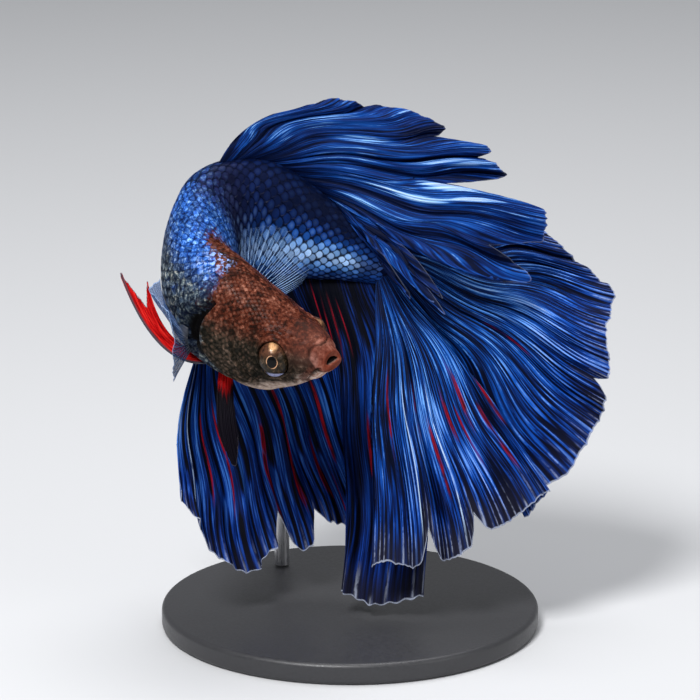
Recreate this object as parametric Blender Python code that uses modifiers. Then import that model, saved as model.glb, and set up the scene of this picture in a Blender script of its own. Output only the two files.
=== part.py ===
"""A halfmoon betta (Siamese fighting fish), life size, turning hard to its left on a display stand.

Units are metres, with MM as the factor from millimetres. The fish is laid out in its own frame: +X towards its
tail fin, +Y to its far side, +Z up, with the origin over the middle of the stand. The whole fish is then leaned
about X and lifted onto the stand, whose underside is at Z = 0.
"""

import math

import bmesh
import bpy
import numpy as np
from mathutils import Matrix, Vector

MM = 0.001

# ---- driving dimensions ----------------------------------------------------------------------------------------
LEAN = math.radians(-15.0)  # how far the fish banks about X
LIFT = 33.0 * MM  # height of the fish's own origin over the table
GAP = 0.25 * MM  # clearance between neighbouring solids
ROOT_GAP = 0.35  # how far a fin's edge stands off the body, in mm
FIN_THICKNESS = 0.5 * MM

# The spine from the snout to the tail stem: station along the body, then its place in the fish's frame (mm).
SPINE = (
    (0.0, (-1.9, -15.9, -1.2)),
    (8.0, (-8.0, -11.8, 1.3)),
    (16.0, (-14.1, -7.6, 4.0)),
    (20.0, (-16.6, -4.8, 6.6)),
    (24.0, (-17.2, -1.9, 10.3)),
    (28.0, (-16.2, 1.1, 13.5)),
    (33.0, (-12.5, 2.8, 14.7)),
    (39.0, (-6.6, 2.8, 13.9)),
    (45.0, (-0.8, 2.1, 12.2)),
    (51.0, (4.7, 1.0, 10.2)),
)
# Which way the back faces along the spine.
BACK = (
    (0.0, (-0.04, -0.52, 0.85)),
    (26.0, (-0.05, -0.45, 0.89)),
    (36.0, (0.08, -0.36, 0.92)),
    (51.0, (0.1, -0.36, 0.92)),
)

# Body profile by station (mm): height of the back and depth of the belly from the spine, and half the width.
STATIONS = (0.0, 0.4, 0.8, 1.2, 3.0, 6.0, 10.0, 14.0, 18.0, 22.0, 26.0, 31.0, 36.0, 40.0, 45.0, 51.0)
BACK_HEIGHT = (0.8, 1.35, 1.6, 2.0, 3.0, 4.1, 5.9, 7.4, 7.8, 7.7, 7.6, 8.0, 7.9, 6.3, 4.4, 3.1)
BELLY_DEPTH = (0.95, 1.55, 1.75, 2.3, 3.7, 5.6, 6.9, 7.0, 7.0, 7.1, 7.2, 7.2, 6.8, 6.0, 4.6, 3.2)
HALF_WIDTH = (1.35, 1.85, 1.9, 2.05, 2.8, 3.7, 4.7, 5.2, 5.1, 4.6, 4.2, 3.9, 3.7, 3.1, 2.2, 1.1)
LIP_RINGS = (0.0, 0.4, 0.8, 1.25)  # stations of the rings that shape the lips
GILL_COVER = 15.0  # where the gill covers end, over the narrower front of the trunk
COVER_FLARE = 0.3  # how far the covers' rear edge stands out, in mm
TRUNK_STEP = 0.45  # how far the trunk lies in behind that edge, in mm

# Body nodes, each a length of the loft between two stations.
BODY_NODES = (
    ("head", 0.0, GILL_COVER),
    ("trunk_front", GILL_COVER, 25.0),
    ("trunk_middle", 25.0, 33.0),
    ("trunk_rear", 33.0, 43.0),
    ("tail_stem", 43.0, 51.0),
)
RING_POINTS = 24
RING_STEP = 1.15

# Eyes: station along the body, then distance out to the side and up from the spine (mm).
EYE_STATION, EYE_OUT, EYE_RISE, EYE_RADIUS = 5.9, 3.3, -0.2, 1.7
MOUTH_SIZE = (0.55, 0.95, 0.3)  # half the depth, width and height of the mouth's opening in mm
MOUTH_RISE = 0.1

# Fins, as guide rays from front to back. A ray is where it is rooted on the body (station, degrees round from the
# right flank: 90 is the back, -90 the belly), then its bend and its tip in the fish's frame (mm).
DORSAL_RAYS = (
    ((30.2, 90), (-12.6, -1.8, 26.9), (-5.2, -1.5, 27.9)),
    ((31.6, 90), (-8.2, -2.5, 26.8), (1.7, -2.0, 28.4)),
    ((33.0, 90), (-3.6, -3.5, 26.0), (9.1, -3.0, 26.3)),
    ((34.4, 90), (0.6, -4.0, 23.9), (15.6, -3.5, 23.0)),
    ((35.8, 90), (2.3, -4.5, 21.2), (17.3, -3.5, 20.6)),
    ((37.3, 90), (5.7, -5.0, 19.0), (21.5, -3.5, 16.6)),
    ((38.8, 90), (5.7, -5.5, 16.5), (21.8, -4.0, 13.1)),
    ((40.2, 90), (6.8, -6.0, 13.0), (20.6, -5.0, 8.2)),
    ((41.7, 90), (4.0, -5.0, 13.6), (11.7, -6.0, 3.7)),
    ((43.2, 90), (1.4, -4.0, 12.5), (6.6, -5.0, 5.8)),
)
DORSAL_NOTCHES = ((0.51, 0.03, 0.28), (0.29, 0.01, 0.06), (0.83, 0.03, 0.1))
# The tail fin's roots are measured up the end of the tail stem instead (mm).
CAUDAL_RAYS = (
    (2.6, (11.5, 4.0, 15.6), (21.4, 4.0, 14.8)),
    (2.2, (13.9, 3.5, 12.7), (25.7, 3.5, 10.7)),
    (1.8, (16.2, 2.0, 10.2), (30.3, 2.0, 6.9)),
    (1.4, (16.1, 0.5, 7.5), (29.4, 0.0, 2.9)),
    (0.9, (16.1, -0.5, 5.2), (29.7, -1.0, -1.7)),
    (0.5, (15.5, -1.0, 3.4), (29.2, 0.0, -6.3)),
    (0.0, (13.8, -1.0, 1.7), (26.2, 0.4, -12.1)),
    (-0.4, (12.0, -0.2, -1.0), (20.6, 1.8, -19.6)),
    (-0.8, (12.2, -2.4, 0.4), (22.4, -1.4, -16.0)),
    (-1.3, (10.3, -2.7, -2.3), (17.5, -2.2, -20.0)),
    (-1.8, (8.6, -3.0, -3.4), (12.0, -3.0, -23.5)),
    (-2.2, (6.3, -3.0, -4.0), (7.4, -3.5, -24.6)),
    (-2.6, (2.5, -2.8, -4.6), (2.5, -2.8, -24.3)),
)
CAUDAL_NOTCHES = ((0.45, 0.012, 0.04), (0.545, 0.03, 0.08), (0.79, 0.01, 0.06), (0.88, 0.012, 0.05))
ANAL_RAYS = (
    ((19.6, -90), (-20.9, -4.2, -8.6), (-19.3, -4.5, -15.9)),
    ((20.2, -90), (-20.2, -3.4, -10.3), (-17.3, -3.0, -20.0)),
    ((21.2, -90), (-17.6, 1.0, -11.5), (-14.9, 0.0, -23.9)),
    ((23.0, -90), (-14.7, 4.0, -11.6), (-10.8, 3.0, -25.6)),
    ((25.4, -90), (-12.3, 6.5, -9.4), (-8.5, 6.0, -22.7)),
    ((28.6, -90), (-9.1, 8.0, -8.2), (-5.2, 8.5, -23.4)),
    ((32.0, -90), (-5.9, 9.0, -7.1), (-1.8, 9.0, -20.2)),
    ((35.4, -90), (-2.9, 8.5, -5.9), (1.4, 7.5, -22.8)),
    ((39.0, -90), (0.2, 6.0, -4.7), (3.3, 5.0, -27.3)),
    ((42.6, -90), (0.7, 3.5, -8.0), (-1.2, 3.0, -27.8)),
    ((46.0, -90), (4.5, 2.2, -7.0), (2.9, 1.6, -29.2)),
    ((49.6, -90), (10.5, 2.4, -4.5), (8.6, 1.2, -28.4)),
)
ANAL_NOTCHES = ((0.40, 0.02, 0.12), (0.50, 0.012, 0.08))
PECTORAL_RIGHT_RAYS = (
    ((16.8, -4), (-21.3, -7.4, 4.2), (-21.6, -5.0, 8.1)),
    ((16.9, -12), (-21.4, -7.8, 4.0), (-22.7, -6.5, 6.8)),
    ((17.1, -20), (-20.4, -9.6, 2.4), (-20.6, -11.0, 4.6)),
    ((17.2, -28), (-19.7, -10.4, 0.8), (-19.7, -12.0, 1.7)),
    ((17.3, -36), (-19.6, -10.2, -1.0), (-19.8, -11.4, -1.6)),
    ((17.4, -44), (-19.4, -9.4, -2.6), (-19.8, -8.8, -3.7)),
)
PECTORAL_LEFT_RAYS = (
    ((16.9, 150), (-12.6, -5.0, 9.8), (-12.4, -4.6, 13.8)),
    ((17.0, 160), (-10.9, -5.0, 9.9), (-9.6, -4.9, 14.1)),
    ((17.1, 170), (-9.0, -4.6, 9.4), (-6.6, -4.8, 13.4)),
    ((17.2, 180), (-8.0, -4.4, 8.4), (-4.8, -4.5, 12.0)),
    ((17.3, 190), (-7.4, -4.2, 7.2), (-3.6, -4.2, 10.0)),
    ((17.4, 200), (-7.6, -4.0, 5.8), (-5.6, -3.6, 7.5)),
)
PELVIC_RIGHT_RAYS = (
    ((15.8, -66), (-21.8, -4.6, -2.8), (-26.2, -4.4, 8.8)),
    ((16.4, -70), (-21.7, -4.4, -2.0), (-25.6, -4.2, 7.8)),
    ((17.0, -74), (-21.6, -4.2, -1.1), (-23.9, -4.2, 6.6)),
    ((17.6, -78), (-21.5, -4.2, -0.2), (-23.1, -4.4, 7.9)),
)
PELVIC_RIGHT_NOTCHES = ((0.7, 0.2, 0.1),)
PELVIC_LEFT_RAYS = (
    ((15.6, -100), (-13.4, -7.4, -7.6), (-12.0, -5.6, -13.0)),
    ((16.2, -98), (-14.8, -7.4, -8.2), (-12.8, -5.4, -14.0)),
    ((16.8, -96), (-16.2, -7.2, -8.2), (-13.6, -5.2, -13.2)),
)

# Display stand.
BASE_RADIUS, BASE_HEIGHT, BASE_BEVEL = 22.0 * MM, 2.5 * MM, 0.6 * MM
ROD_RADIUS = 0.9 * MM
ROD_STATION = 37.0  # where along the body the rod meets the far flank
ROD_STAND_OFF = 3.6  # how far the upright stands behind the flank, in mm
ROD_DEPTH = 1.6  # how far it is let into the flank, in mm


# ---- curves ----------------------------------------------------------------------------------------------------
def smooth(rows, t):
    """Catmull-Rom through evenly spaced rows, for t from 0 to 1."""
    rows = np.asarray(rows, float)
    t = np.clip(np.asarray(t, float), 0.0, 1.0) * (len(rows) - 1)
    i = np.minimum(t.astype(int), len(rows) - 2)
    f = (t - i).reshape(t.shape + (1,) * (rows.ndim - 1))
    before = rows[np.maximum(i - 1, 0)]
    after = rows[np.minimum(i + 2, len(rows) - 1)]
    a, b = rows[i], rows[i + 1]
    return 0.5 * (2 * a + (b - before) * f + (2 * before - 5 * a + 4 * b - after) * f**2
                  + (3 * a - before - 3 * b + after) * f**3)


def along(stations, rows, s):
    """Hermite curve through rows at uneven stations."""
    stations, rows = np.asarray(stations, float), np.asarray(rows, float)
    slopes = np.gradient(rows, stations, axis=0)
    s = np.asarray(s, float)
    i = np.clip(np.searchsorted(stations, s, side="right") - 1, 0, len(stations) - 2)
    h = stations[i + 1] - stations[i]
    f = np.clip((s - stations[i]) / h, 0.0, 1.0)
    if rows.ndim > 1:
        h, f = h[..., None], f[..., None]
    return ((2 * f**3 - 3 * f**2 + 1) * rows[i] + (f**3 - 2 * f**2 + f) * h * slopes[i]
            + (3 * f**2 - 2 * f**3) * rows[i + 1] + (f**3 - f**2) * h * slopes[i + 1])


def unit(v):
    return v / np.linalg.norm(v, axis=-1, keepdims=True)


# ---- the body --------------------------------------------------------------------------------------------------
def spine_frame(s):
    """(place, forward, back, right) of the spine at stations s, in mm."""
    stations = [row[0] for row in SPINE]
    places = [row[1] for row in SPINE]
    step = 0.2
    place = along(stations, places, s)
    forward = unit(along(stations, places, np.maximum(s - step, 0.0)) - along(stations, places, np.minimum(s + step, 51.0)))
    back = along([row[0] for row in BACK], [row[1] for row in BACK], s)
    back = unit(back - forward * np.sum(back * forward, axis=-1, keepdims=True))
    return place, forward, back, np.cross(forward, back)


def body_point(s, angle, out=0.0):
    """A point of the skin at station s, angle measured from the right side up over the back, out mm outside it."""
    s, angle = np.broadcast_arrays(np.asarray(s, float), np.asarray(angle, float))
    place, _, back, right = spine_frame(s)
    up, side = np.sin(angle), np.cos(angle)
    high = along(STATIONS, BACK_HEIGHT, s)
    low = along(STATIONS, BELLY_DEPTH, s)
    height = np.where(up > 0, high, low) + out
    width = along(STATIONS, HALF_WIDTH, s) + out
    return place + right * (width * side)[..., None] + back * (height * up)[..., None]


def loft(rings):
    """A closed solid from rings of points, each ring the same length, capped at both ends."""
    count, around = rings.shape[:2]
    mesh = bmesh.new()
    verts = [[mesh.verts.new(p) for p in ring] for ring in rings * MM]
    for i in range(count - 1):
        for j in range(around):
            k = (j + 1) % around
            mesh.faces.new((verts[i][j], verts[i][k], verts[i + 1][k], verts[i + 1][j]))
    mesh.faces.new(reversed(verts[0]))
    mesh.faces.new(verts[-1])
    bmesh.ops.recalc_face_normals(mesh, faces=mesh.faces)
    return mesh


def add_object(name, mesh, material, collection, smooth_angle=40.0):
    data = bpy.data.meshes.new(name)
    if isinstance(mesh, bmesh.types.BMesh):
        mesh.to_mesh(data)
        mesh.free()
    else:
        data.from_pydata(*mesh)
    data.materials.append(material)
    data.shade_smooth()
    data.set_sharp_from_angle(angle=math.radians(smooth_angle))
    obj = bpy.data.objects.new(name, data)
    collection.objects.link(obj)
    return obj


def gill_step(s):
    """How far the flanks stand out at the gill covers' rear edge, and lie in behind it."""
    cover = COVER_FLARE * np.clip((s - GILL_COVER + 2.5) / 2.5, 0.0, 1.0) ** 2
    behind = -TRUNK_STEP * np.clip((GILL_COVER + 2.0 - s) / 2.0, 0.0, 1.0)
    return np.where(s < GILL_COVER, cover, behind)


def body_rings(start, end):
    """Rings of the skin from start to end, half a gap short of the neighbouring length."""
    trim = 0.5 * GAP / MM
    low = start + trim if start > 0 else start
    high = end - trim if end < 51.0 else end
    count = max(3, round((high - low) / RING_STEP) + 1)
    stations = np.linspace(low, high, count)
    if start == 0:
        stations = np.concatenate([LIP_RINGS, stations[2:]])
    angles = np.linspace(0.0, 2 * math.pi, RING_POINTS, endpoint=False)
    return body_point(stations[:, None], angles[None, :], gill_step(stations)[:, None] * np.cos(angles) ** 2)


# ---- fins ------------------------------------------------------------------------------------------------------
def fin_roots(rays, u):
    """Where the fin's rays leave the body, a gap clear of its surface."""
    roots = smooth([np.atleast_1d(ray[0]) for ray in rays], u)
    if roots.shape[1] == 2:
        return body_point(roots[:, 0], np.radians(roots[:, 1]), ROOT_GAP)
    place, forward, back, _ = spine_frame(np.full(len(u), 51.0))
    bulge = np.cos(roots / 2.6 * 1.2)
    return place + back * roots - forward * (ROOT_GAP + 0.6 * bulge)


def fin_points(rays, columns, rows, notches=(), folds=0.0, fold_height=0.0):
    """Points of a fin's middle surface, columns from front to back by rows from root to margin, in mm."""
    u = np.linspace(0.0, 1.0, columns)
    v = np.linspace(0.0, 1.0, rows)
    root = fin_roots(rays, u)
    bend, tip = (smooth([ray[k] for ray in rays], u) for k in (1, 2))
    reach = np.ones(columns)
    for at, width, depth in notches:
        reach -= depth * np.exp(-(((u - at) / width) ** 2))
    t = (v[None, :] * reach[:, None])[..., None]
    points = (1 - t) ** 2 * root[:, None] + 2 * t * (1 - t) * bend[:, None] + t**2 * tip[:, None]
    if folds:
        across = np.gradient(points, axis=0)
        down = np.gradient(points, axis=1)
        normal = unit(np.cross(across, down))
        wave = np.sin(2 * math.pi * folds * u)[:, None] * fold_height * v[None, :] ** 1.4
        points = points + normal * wave[..., None]
    return points


def sheet_mesh(points):
    """A one-sided grid of quads through the points."""
    columns, rows = points.shape[:2]
    faces = [(i * rows + j, (i + 1) * rows + j, (i + 1) * rows + j + 1, i * rows + j + 1)
             for i in range(columns - 1) for j in range(rows - 1)]
    return (points.reshape(-1, 3) * MM).tolist(), [], faces


def add_fin(name, points, material, collection):
    fin = add_object(name, sheet_mesh(points), material, collection, 60.0)
    thick = fin.modifiers.new("thickness", "SOLIDIFY")
    thick.thickness = FIN_THICKNESS
    thick.offset = 0.0
    return fin


# ---- materials -------------------------------------------------------------------------------------------------
def make_material(name, colour, roughness, metallic=0.0):
    material = bpy.data.materials.new(name)
    material.use_nodes = True
    shader = material.node_tree.nodes["Principled BSDF"]
    shader.inputs["Base Color"].default_value = (*colour, 1.0)
    shader.inputs["Roughness"].default_value = roughness
    shader.inputs["Metallic"].default_value = metallic
    material.diffuse_color = (*colour, 1.0)
    return material


# ---- assembly --------------------------------------------------------------------------------------------------
def ball_mesh(radius, centre):
    ball = bmesh.new()
    bmesh.ops.create_uvsphere(ball, u_segments=12, v_segments=8, radius=radius)
    bmesh.ops.translate(ball, verts=ball.verts, vec=centre)
    return ball


def cut_with(target, mesh, name, material):
    """Take the mesh's volume out of the target."""
    cutter = add_object(name, mesh, material, bpy.data.collections["cutters"], 80.0)
    cutter.hide_render = True
    cutter.display_type = "WIRE"
    cut = target.modifiers.new(name, "BOOLEAN")
    cut.operation = "DIFFERENCE"
    cut.object = cutter
    return cutter


def build_eye(side, material, collection, head):
    """An eyeball in a socket cut from the head; side is 1 for the right eye and -1 for the left."""
    place, _, back, right = spine_frame(np.array([EYE_STATION]))
    centre = Vector((place + right * side * EYE_OUT + back * EYE_RISE)[0]) * MM
    name = "eye_right" if side > 0 else "eye_left"
    eye = add_object(name, ball_mesh(EYE_RADIUS * MM, centre), material, collection, 80.0)
    socket = cut_with(head, ball_mesh(EYE_RADIUS * MM + GAP, centre), name + "_socket", material)
    return [eye, socket]


def cut_mouth(head, material):
    """The mouth's opening: a shallow hollow between the lips, wider than it is high."""
    place, forward, back, right = (v[0] for v in spine_frame(np.array([0.0])))
    hollow = ball_mesh(1.0, Vector((0.0, 0.0, 0.0)))
    deep, wide, high = MOUTH_SIZE
    turn = Matrix((forward * deep, back * high, right * wide)).transposed() * MM
    bmesh.ops.transform(hollow, verts=hollow.verts, matrix=turn.to_4x4())
    bmesh.ops.translate(hollow, verts=hollow.verts, vec=Vector(place + back * MOUTH_RISE) * MM)
    return cut_with(head, hollow, "mouth_hollow", material)


def rod_meeting(lean):
    """Where the rod's axis meets the far flank, in the stand's frame."""
    flank = body_point(np.array([ROD_STATION]), np.array([0.0]))[0]
    return lean @ (Vector(flank) * MM)


def rod_path(meet):
    """Centre line of the rod: up from the base, round a quarter bend, then level into the flank."""
    turn = ROD_STAND_OFF * MM
    path = [(meet.x, meet.y + turn, BASE_HEIGHT + GAP), (meet.x, meet.y + turn, 0.5 * meet.z)]
    for a in np.linspace(0.0, math.pi / 2, 8):
        path.append((meet.x, meet.y + turn * math.cos(a), meet.z - turn + turn * math.sin(a)))
    path.append((meet.x, meet.y - ROD_DEPTH * MM, meet.z))
    return path


def build_rod(meet, material, collection):
    curve = bpy.data.curves.new("stand_rod", "CURVE")
    curve.dimensions = "3D"
    path = rod_path(meet)
    spline = curve.splines.new("POLY")
    spline.points.add(len(path) - 1)
    for point, place in zip(spline.points, path):
        point.co = (*place, 1.0)
    curve.bevel_depth = ROD_RADIUS
    curve.bevel_resolution = 2
    curve.use_fill_caps = True
    curve.materials.append(material)
    rod = bpy.data.objects.new("stand_rod", curve)
    collection.objects.link(rod)
    return rod


def cut_rod_socket(meet, trunk, material):
    """A blind round socket in the far flank that the rod ends in."""
    drill = bmesh.new()
    depth = 2 * (ROD_DEPTH * MM + GAP)
    radius = ROD_RADIUS + GAP
    bmesh.ops.create_cone(drill, cap_ends=True, segments=16, radius1=radius, radius2=radius, depth=depth)
    bmesh.ops.rotate(drill, verts=drill.verts, matrix=Matrix.Rotation(math.pi / 2, 3, "X"))
    bmesh.ops.translate(drill, verts=drill.verts, vec=meet)
    cut_with(trunk, drill, "rod_socket", material)


def build_base(material, collection):
    base = bmesh.new()
    bmesh.ops.create_cone(base, cap_ends=True, segments=36, radius1=BASE_RADIUS, radius2=BASE_RADIUS, depth=BASE_HEIGHT)
    bmesh.ops.translate(base, verts=base.verts, vec=(0.0, 0.0, BASE_HEIGHT / 2))
    disc = add_object("stand_base", base, material, collection, 30.0)
    bevel = disc.modifiers.new("edge", "BEVEL")
    bevel.width = BASE_BEVEL
    bevel.segments = 2


def build_fins(materials, collection):
    blue, pale, red = materials["fin"], materials["pectoral"], materials["pelvic"]
    return [
        add_fin("dorsal_fin", fin_points(DORSAL_RAYS, 45, 9, DORSAL_NOTCHES, 8, 0.5), blue, collection),
        add_fin("caudal_fin", fin_points(CAUDAL_RAYS, 56, 9, CAUDAL_NOTCHES, 11, 0.5), blue, collection),
        add_fin("anal_fin", fin_points(ANAL_RAYS, 50, 9, ANAL_NOTCHES, 10, 0.5), blue, collection),
        add_fin("pectoral_fin_right", fin_points(PECTORAL_RIGHT_RAYS, 11, 5), pale, collection),
        add_fin("pectoral_fin_left", fin_points(PECTORAL_LEFT_RAYS, 11, 5), pale, collection),
        add_fin("pelvic_fin_right", fin_points(PELVIC_RIGHT_RAYS, 6, 10, PELVIC_RIGHT_NOTCHES), red, collection),
        add_fin("pelvic_fin_left", fin_points(PELVIC_LEFT_RAYS, 5, 9), red, collection),
    ]


def main():
    for obj in list(bpy.data.objects):
        bpy.data.objects.remove(obj, do_unlink=True)
    scene = bpy.context.scene.collection
    fish = bpy.data.collections.new("betta_fish")
    cutters = bpy.data.collections.new("cutters")
    scene.children.link(fish)
    scene.children.link(cutters)
    materials = {
        "head": make_material("head_skin", (0.20, 0.10, 0.07), 0.4),
        "body": make_material("body_skin", (0.03, 0.12, 0.45), 0.35),
        "fin": make_material("fin_blue", (0.02, 0.09, 0.5), 0.4),
        "pectoral": make_material("fin_pectoral", (0.12, 0.22, 0.42), 0.35),
        "pelvic": make_material("fin_red", (0.7, 0.01, 0.01), 0.35),
        "eye": make_material("eye", (0.02, 0.015, 0.01), 0.1),
        "base": make_material("stand_base", (0.05, 0.05, 0.055), 0.5),
        "rod": make_material("stand_rod", (0.5, 0.5, 0.52), 0.3, 1.0),
    }
    holder = bpy.data.objects.new("fish_holder", None)
    holder.location = (0.0, 0.0, LIFT)
    holder.rotation_euler = (LEAN, 0.0, 0.0)
    fish.objects.link(holder)
    body = {}
    for name, start, end in BODY_NODES:
        skin = materials["head" if name == "head" else "body"]
        body[name] = add_object(name, loft(body_rings(start, end)), skin, fish)
    leaned = list(body.values())
    for side in (1, -1):
        leaned += build_eye(side, materials["eye"], fish, body["head"])
    leaned.append(cut_mouth(body["head"], materials["head"]))
    leaned += build_fins(materials, fish)
    for obj in leaned:
        obj.parent = holder
    lean = Matrix.Translation((0.0, 0.0, LIFT)) @ Matrix.Rotation(LEAN, 4, "X")
    meet = rod_meeting(lean)
    build_base(materials["base"], fish)
    build_rod(meet, materials["rod"], fish)
    cut_rod_socket(meet, body["trunk_rear"], materials["body"])


main()
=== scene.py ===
"""Looks for the halfmoon betta on its display stand: a skin with solid scales, eyes and pleated fins.

The fish is worked out in its own frame in millimetres (+X to the tail fin, +Y to the far side, +Z up), as the
CAD source does, and lean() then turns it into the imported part's frame in metres.
"""

import math

import bpy
import numpy as np
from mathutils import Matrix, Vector


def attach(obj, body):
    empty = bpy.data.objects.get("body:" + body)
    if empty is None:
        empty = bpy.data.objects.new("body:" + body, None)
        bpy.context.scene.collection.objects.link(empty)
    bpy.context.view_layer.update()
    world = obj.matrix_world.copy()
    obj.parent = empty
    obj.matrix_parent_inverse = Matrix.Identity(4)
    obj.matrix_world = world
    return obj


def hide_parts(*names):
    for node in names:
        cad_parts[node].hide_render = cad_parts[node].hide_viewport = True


MM = 0.001
LEAN = math.radians(-15.0)  # how far the fish banks about X
LIFT = 33.0  # height of the fish's own origin over the table
TURN = 2 * math.pi

# ---- the body's named values, as in the CAD source -------------------------
SPINE = (
    (0.0, (-1.9, -15.9, -1.2)),
    (8.0, (-8.0, -11.8, 1.3)),
    (16.0, (-14.1, -7.6, 4.0)),
    (20.0, (-16.6, -4.8, 6.6)),
    (24.0, (-17.2, -1.9, 10.3)),
    (28.0, (-16.2, 1.1, 13.5)),
    (33.0, (-12.5, 2.8, 14.7)),
    (39.0, (-6.6, 2.8, 13.9)),
    (45.0, (-0.8, 2.1, 12.2)),
    (51.0, (4.7, 1.0, 10.2)),
)
BACK = (
    (0.0, (-0.04, -0.52, 0.85)),
    (26.0, (-0.05, -0.45, 0.89)),
    (36.0, (0.08, -0.36, 0.92)),
    (51.0, (0.1, -0.36, 0.92)),
)
END = 51.0  # the body's last station
STATIONS = (0.0, 0.4, 0.8, 1.2, 3.0, 6.0, 10.0, 14.0, 18.0, 22.0, 26.0, 31.0, 36.0, 40.0, 45.0, 51.0)
BACK_HEIGHT = (0.8, 1.35, 1.6, 2.0, 3.0, 4.1, 5.9, 7.4, 7.8, 7.7, 7.6, 8.0, 7.9, 6.3, 4.4, 3.1)
BELLY_DEPTH = (0.95, 1.55, 1.75, 2.3, 3.7, 5.6, 6.9, 7.0, 7.0, 7.1, 7.2, 7.2, 6.8, 6.0, 4.6, 3.2)
HALF_WIDTH = (1.35, 1.85, 1.9, 2.05, 2.8, 3.7, 4.7, 5.2, 5.1, 4.6, 4.2, 3.9, 3.7, 3.1, 2.2, 1.1)
EYE_STATION, EYE_OUT, EYE_RISE, EYE_RADIUS = 5.9, 3.3, -0.2, 1.7
EYE_TALL = 1.2  # how much taller than wide the eye is
SKIN_DEPTH = 0.2  # how far the bare skin lies inside the CAD's body

# Mouth and lips from deep inside out to the snout: station, half width, up, down, rise, droop of the corners,
# and how far the lower jaw stands ahead of the upper one.
SNOUT = (
    (2.4, 0.3, 0.05, 0.05, 0.14, 0.0, 0.2),
    (1.2, 0.62, 0.08, 0.07, 0.14, 0.08, 0.25),
    (0.5, 0.86, 0.12, 0.1, 0.14, 0.16, 0.3),
    (0.12, 0.98, 0.16, 0.13, 0.14, 0.24, 0.34),
    (-0.1, 1.16, 0.42, 0.36, 0.12, 0.3, 0.38),
    (-0.04, 1.44, 0.8, 0.7, 0.08, 0.3, 0.38),
    (0.22, 1.66, 1.14, 1.06, 0.05, 0.28, 0.36),
    (0.5, 1.74, 1.32, 1.3, 0.02, 0.2, 0.3),
    (0.8, 1.78, 1.48, 1.5, 0.0, 0.12, 0.2),
    (1.05, 1.8, 1.66, 1.8, 0.0, 0.08, 0.1),
)

# Guide rays of the fins: where each is rooted as (station, degrees round from the right flank) or, on the
# tail fin, its height on the stem's end, then its bend and its tip in the fish's frame. A notch is (ray, half
# width, depth).
DORSAL_RAYS = (
    ((30.2, 90), (-12.6, -1.8, 26.9), (-5.2, -1.5, 27.9)),
    ((31.6, 90), (-8.2, -2.5, 26.8), (1.7, -2.0, 28.4)),
    ((33.0, 90), (-3.6, -3.5, 26.0), (9.1, -3.0, 26.3)),
    ((34.4, 90), (0.6, -4.0, 23.9), (15.6, -3.5, 23.0)),
    ((35.8, 90), (2.3, -4.5, 21.2), (17.3, -3.5, 20.6)),
    ((37.3, 90), (5.7, -5.0, 19.0), (21.5, -3.5, 16.6)),
    ((38.8, 90), (5.7, -5.5, 16.5), (21.8, -4.0, 13.1)),
    ((40.2, 90), (6.8, -6.0, 13.0), (20.6, -5.0, 8.2)),
    ((41.7, 90), (4.0, -5.0, 13.6), (12.7, -6.0, 2.8)),
    ((43.2, 90), (1.4, -4.0, 12.5), (6.8, -5.0, 5.8)),
)
DORSAL_NOTCHES = (
    (0.09, 0.1, 0.06), (0.288, 0.04, 0.12), (0.385, 0.035, 0.07), (0.515, 0.055, 0.32), (0.724, 0.052, 0.2),
    (0.84, 0.064, 0.52), (0.89, 0.012, 0.2), (0.945, 0.055, 0.4),
)
# Marks of the fins as shares of their width and length: painted highlight and painted shadow patches are
# (ray, out, half width, half length, strength), and red bands and pale seams are (ray, half width, from, to).
# Painted highlights on the dorsal fin's folds.
DORSAL_HIGHLIGHTS = (
    (0.285, 0.6, 0.026, 0.16, 0.75), (0.41, 0.82, 0.026, 0.18, 0.8), (0.59, 0.56, 0.03, 0.22, 0.95),
    (0.535, 0.82, 0.022, 0.14, 1.0), (0.7, 0.3, 0.018, 0.14, 0.4), (0.15, 0.75, 0.03, 0.2, 0.3),
    (0.585, 0.72, 0.02, 0.12, 1.3),
)
# Painted shadows between the dorsal fin's folds.
DORSAL_SHADOWS = (
    (0.5, 0.4, 0.012, 0.3, 0.3), (0.64, 0.7, 0.015, 0.35, 0.25), (0.8, 0.5, 0.025, 0.4, 0.35),
    (0.95, 0.6, 0.07, 0.6, 0.35),
)
# Painted highlights on the tail fin.
CAUDAL_HIGHLIGHTS = (
    (0.845, 0.6, 0.022, 0.2, 0.45), (0.745, 0.78, 0.03, 0.13, 0.35), (0.79, 0.62, 0.03, 0.1, 0.3),
    (0.34, 0.68, 0.05, 0.22, 0.3), (0.28, 0.6, 0.03, 0.2, 0.25),
)
# Painted shadows in the tail fin's folds and between its lobes.
CAUDAL_SHADOWS = (
    (0.57, 0.65, 0.05, 0.3, 0.5), (0.97, 0.5, 0.05, 0.6, 0.3), (0.885, 0.88, 0.014, 0.15, 0.5),
    (0.405, 0.88, 0.012, 0.14, 0.45), (0.46, 0.3, 0.1, 0.2, 0.35), (0.725, 0.9, 0.013, 0.16, 0.6),
    (0.505, 0.45, 0.016, 0.14, 0.5), (0.54, 0.56, 0.018, 0.12, 0.4), (0.68, 0.7, 0.012, 0.16, 0.45),
)
CAUDAL_RED = (
    (0.722, 0.005, 0.5, 0.64), (0.765, 0.005, 0.57, 0.7), (0.826, 0.005, 0.64, 0.8),
    (0.664, 0.005, 0.55, 0.72), (0.697, 0.004, 0.7, 0.88), (0.43, 0.005, 0.5, 0.72),
    (0.945, 0.003, 0.45, 0.62), (0.86, 0.003, 0.46, 0.58), (0.74, 0.003, 0.6, 0.76), (0.6, 0.003, 0.5, 0.7),
)
CAUDAL_SEAMS = ((0.812, 0.0018, 0.5, 0.97), (0.9, 0.0016, 0.45, 0.97))
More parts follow.
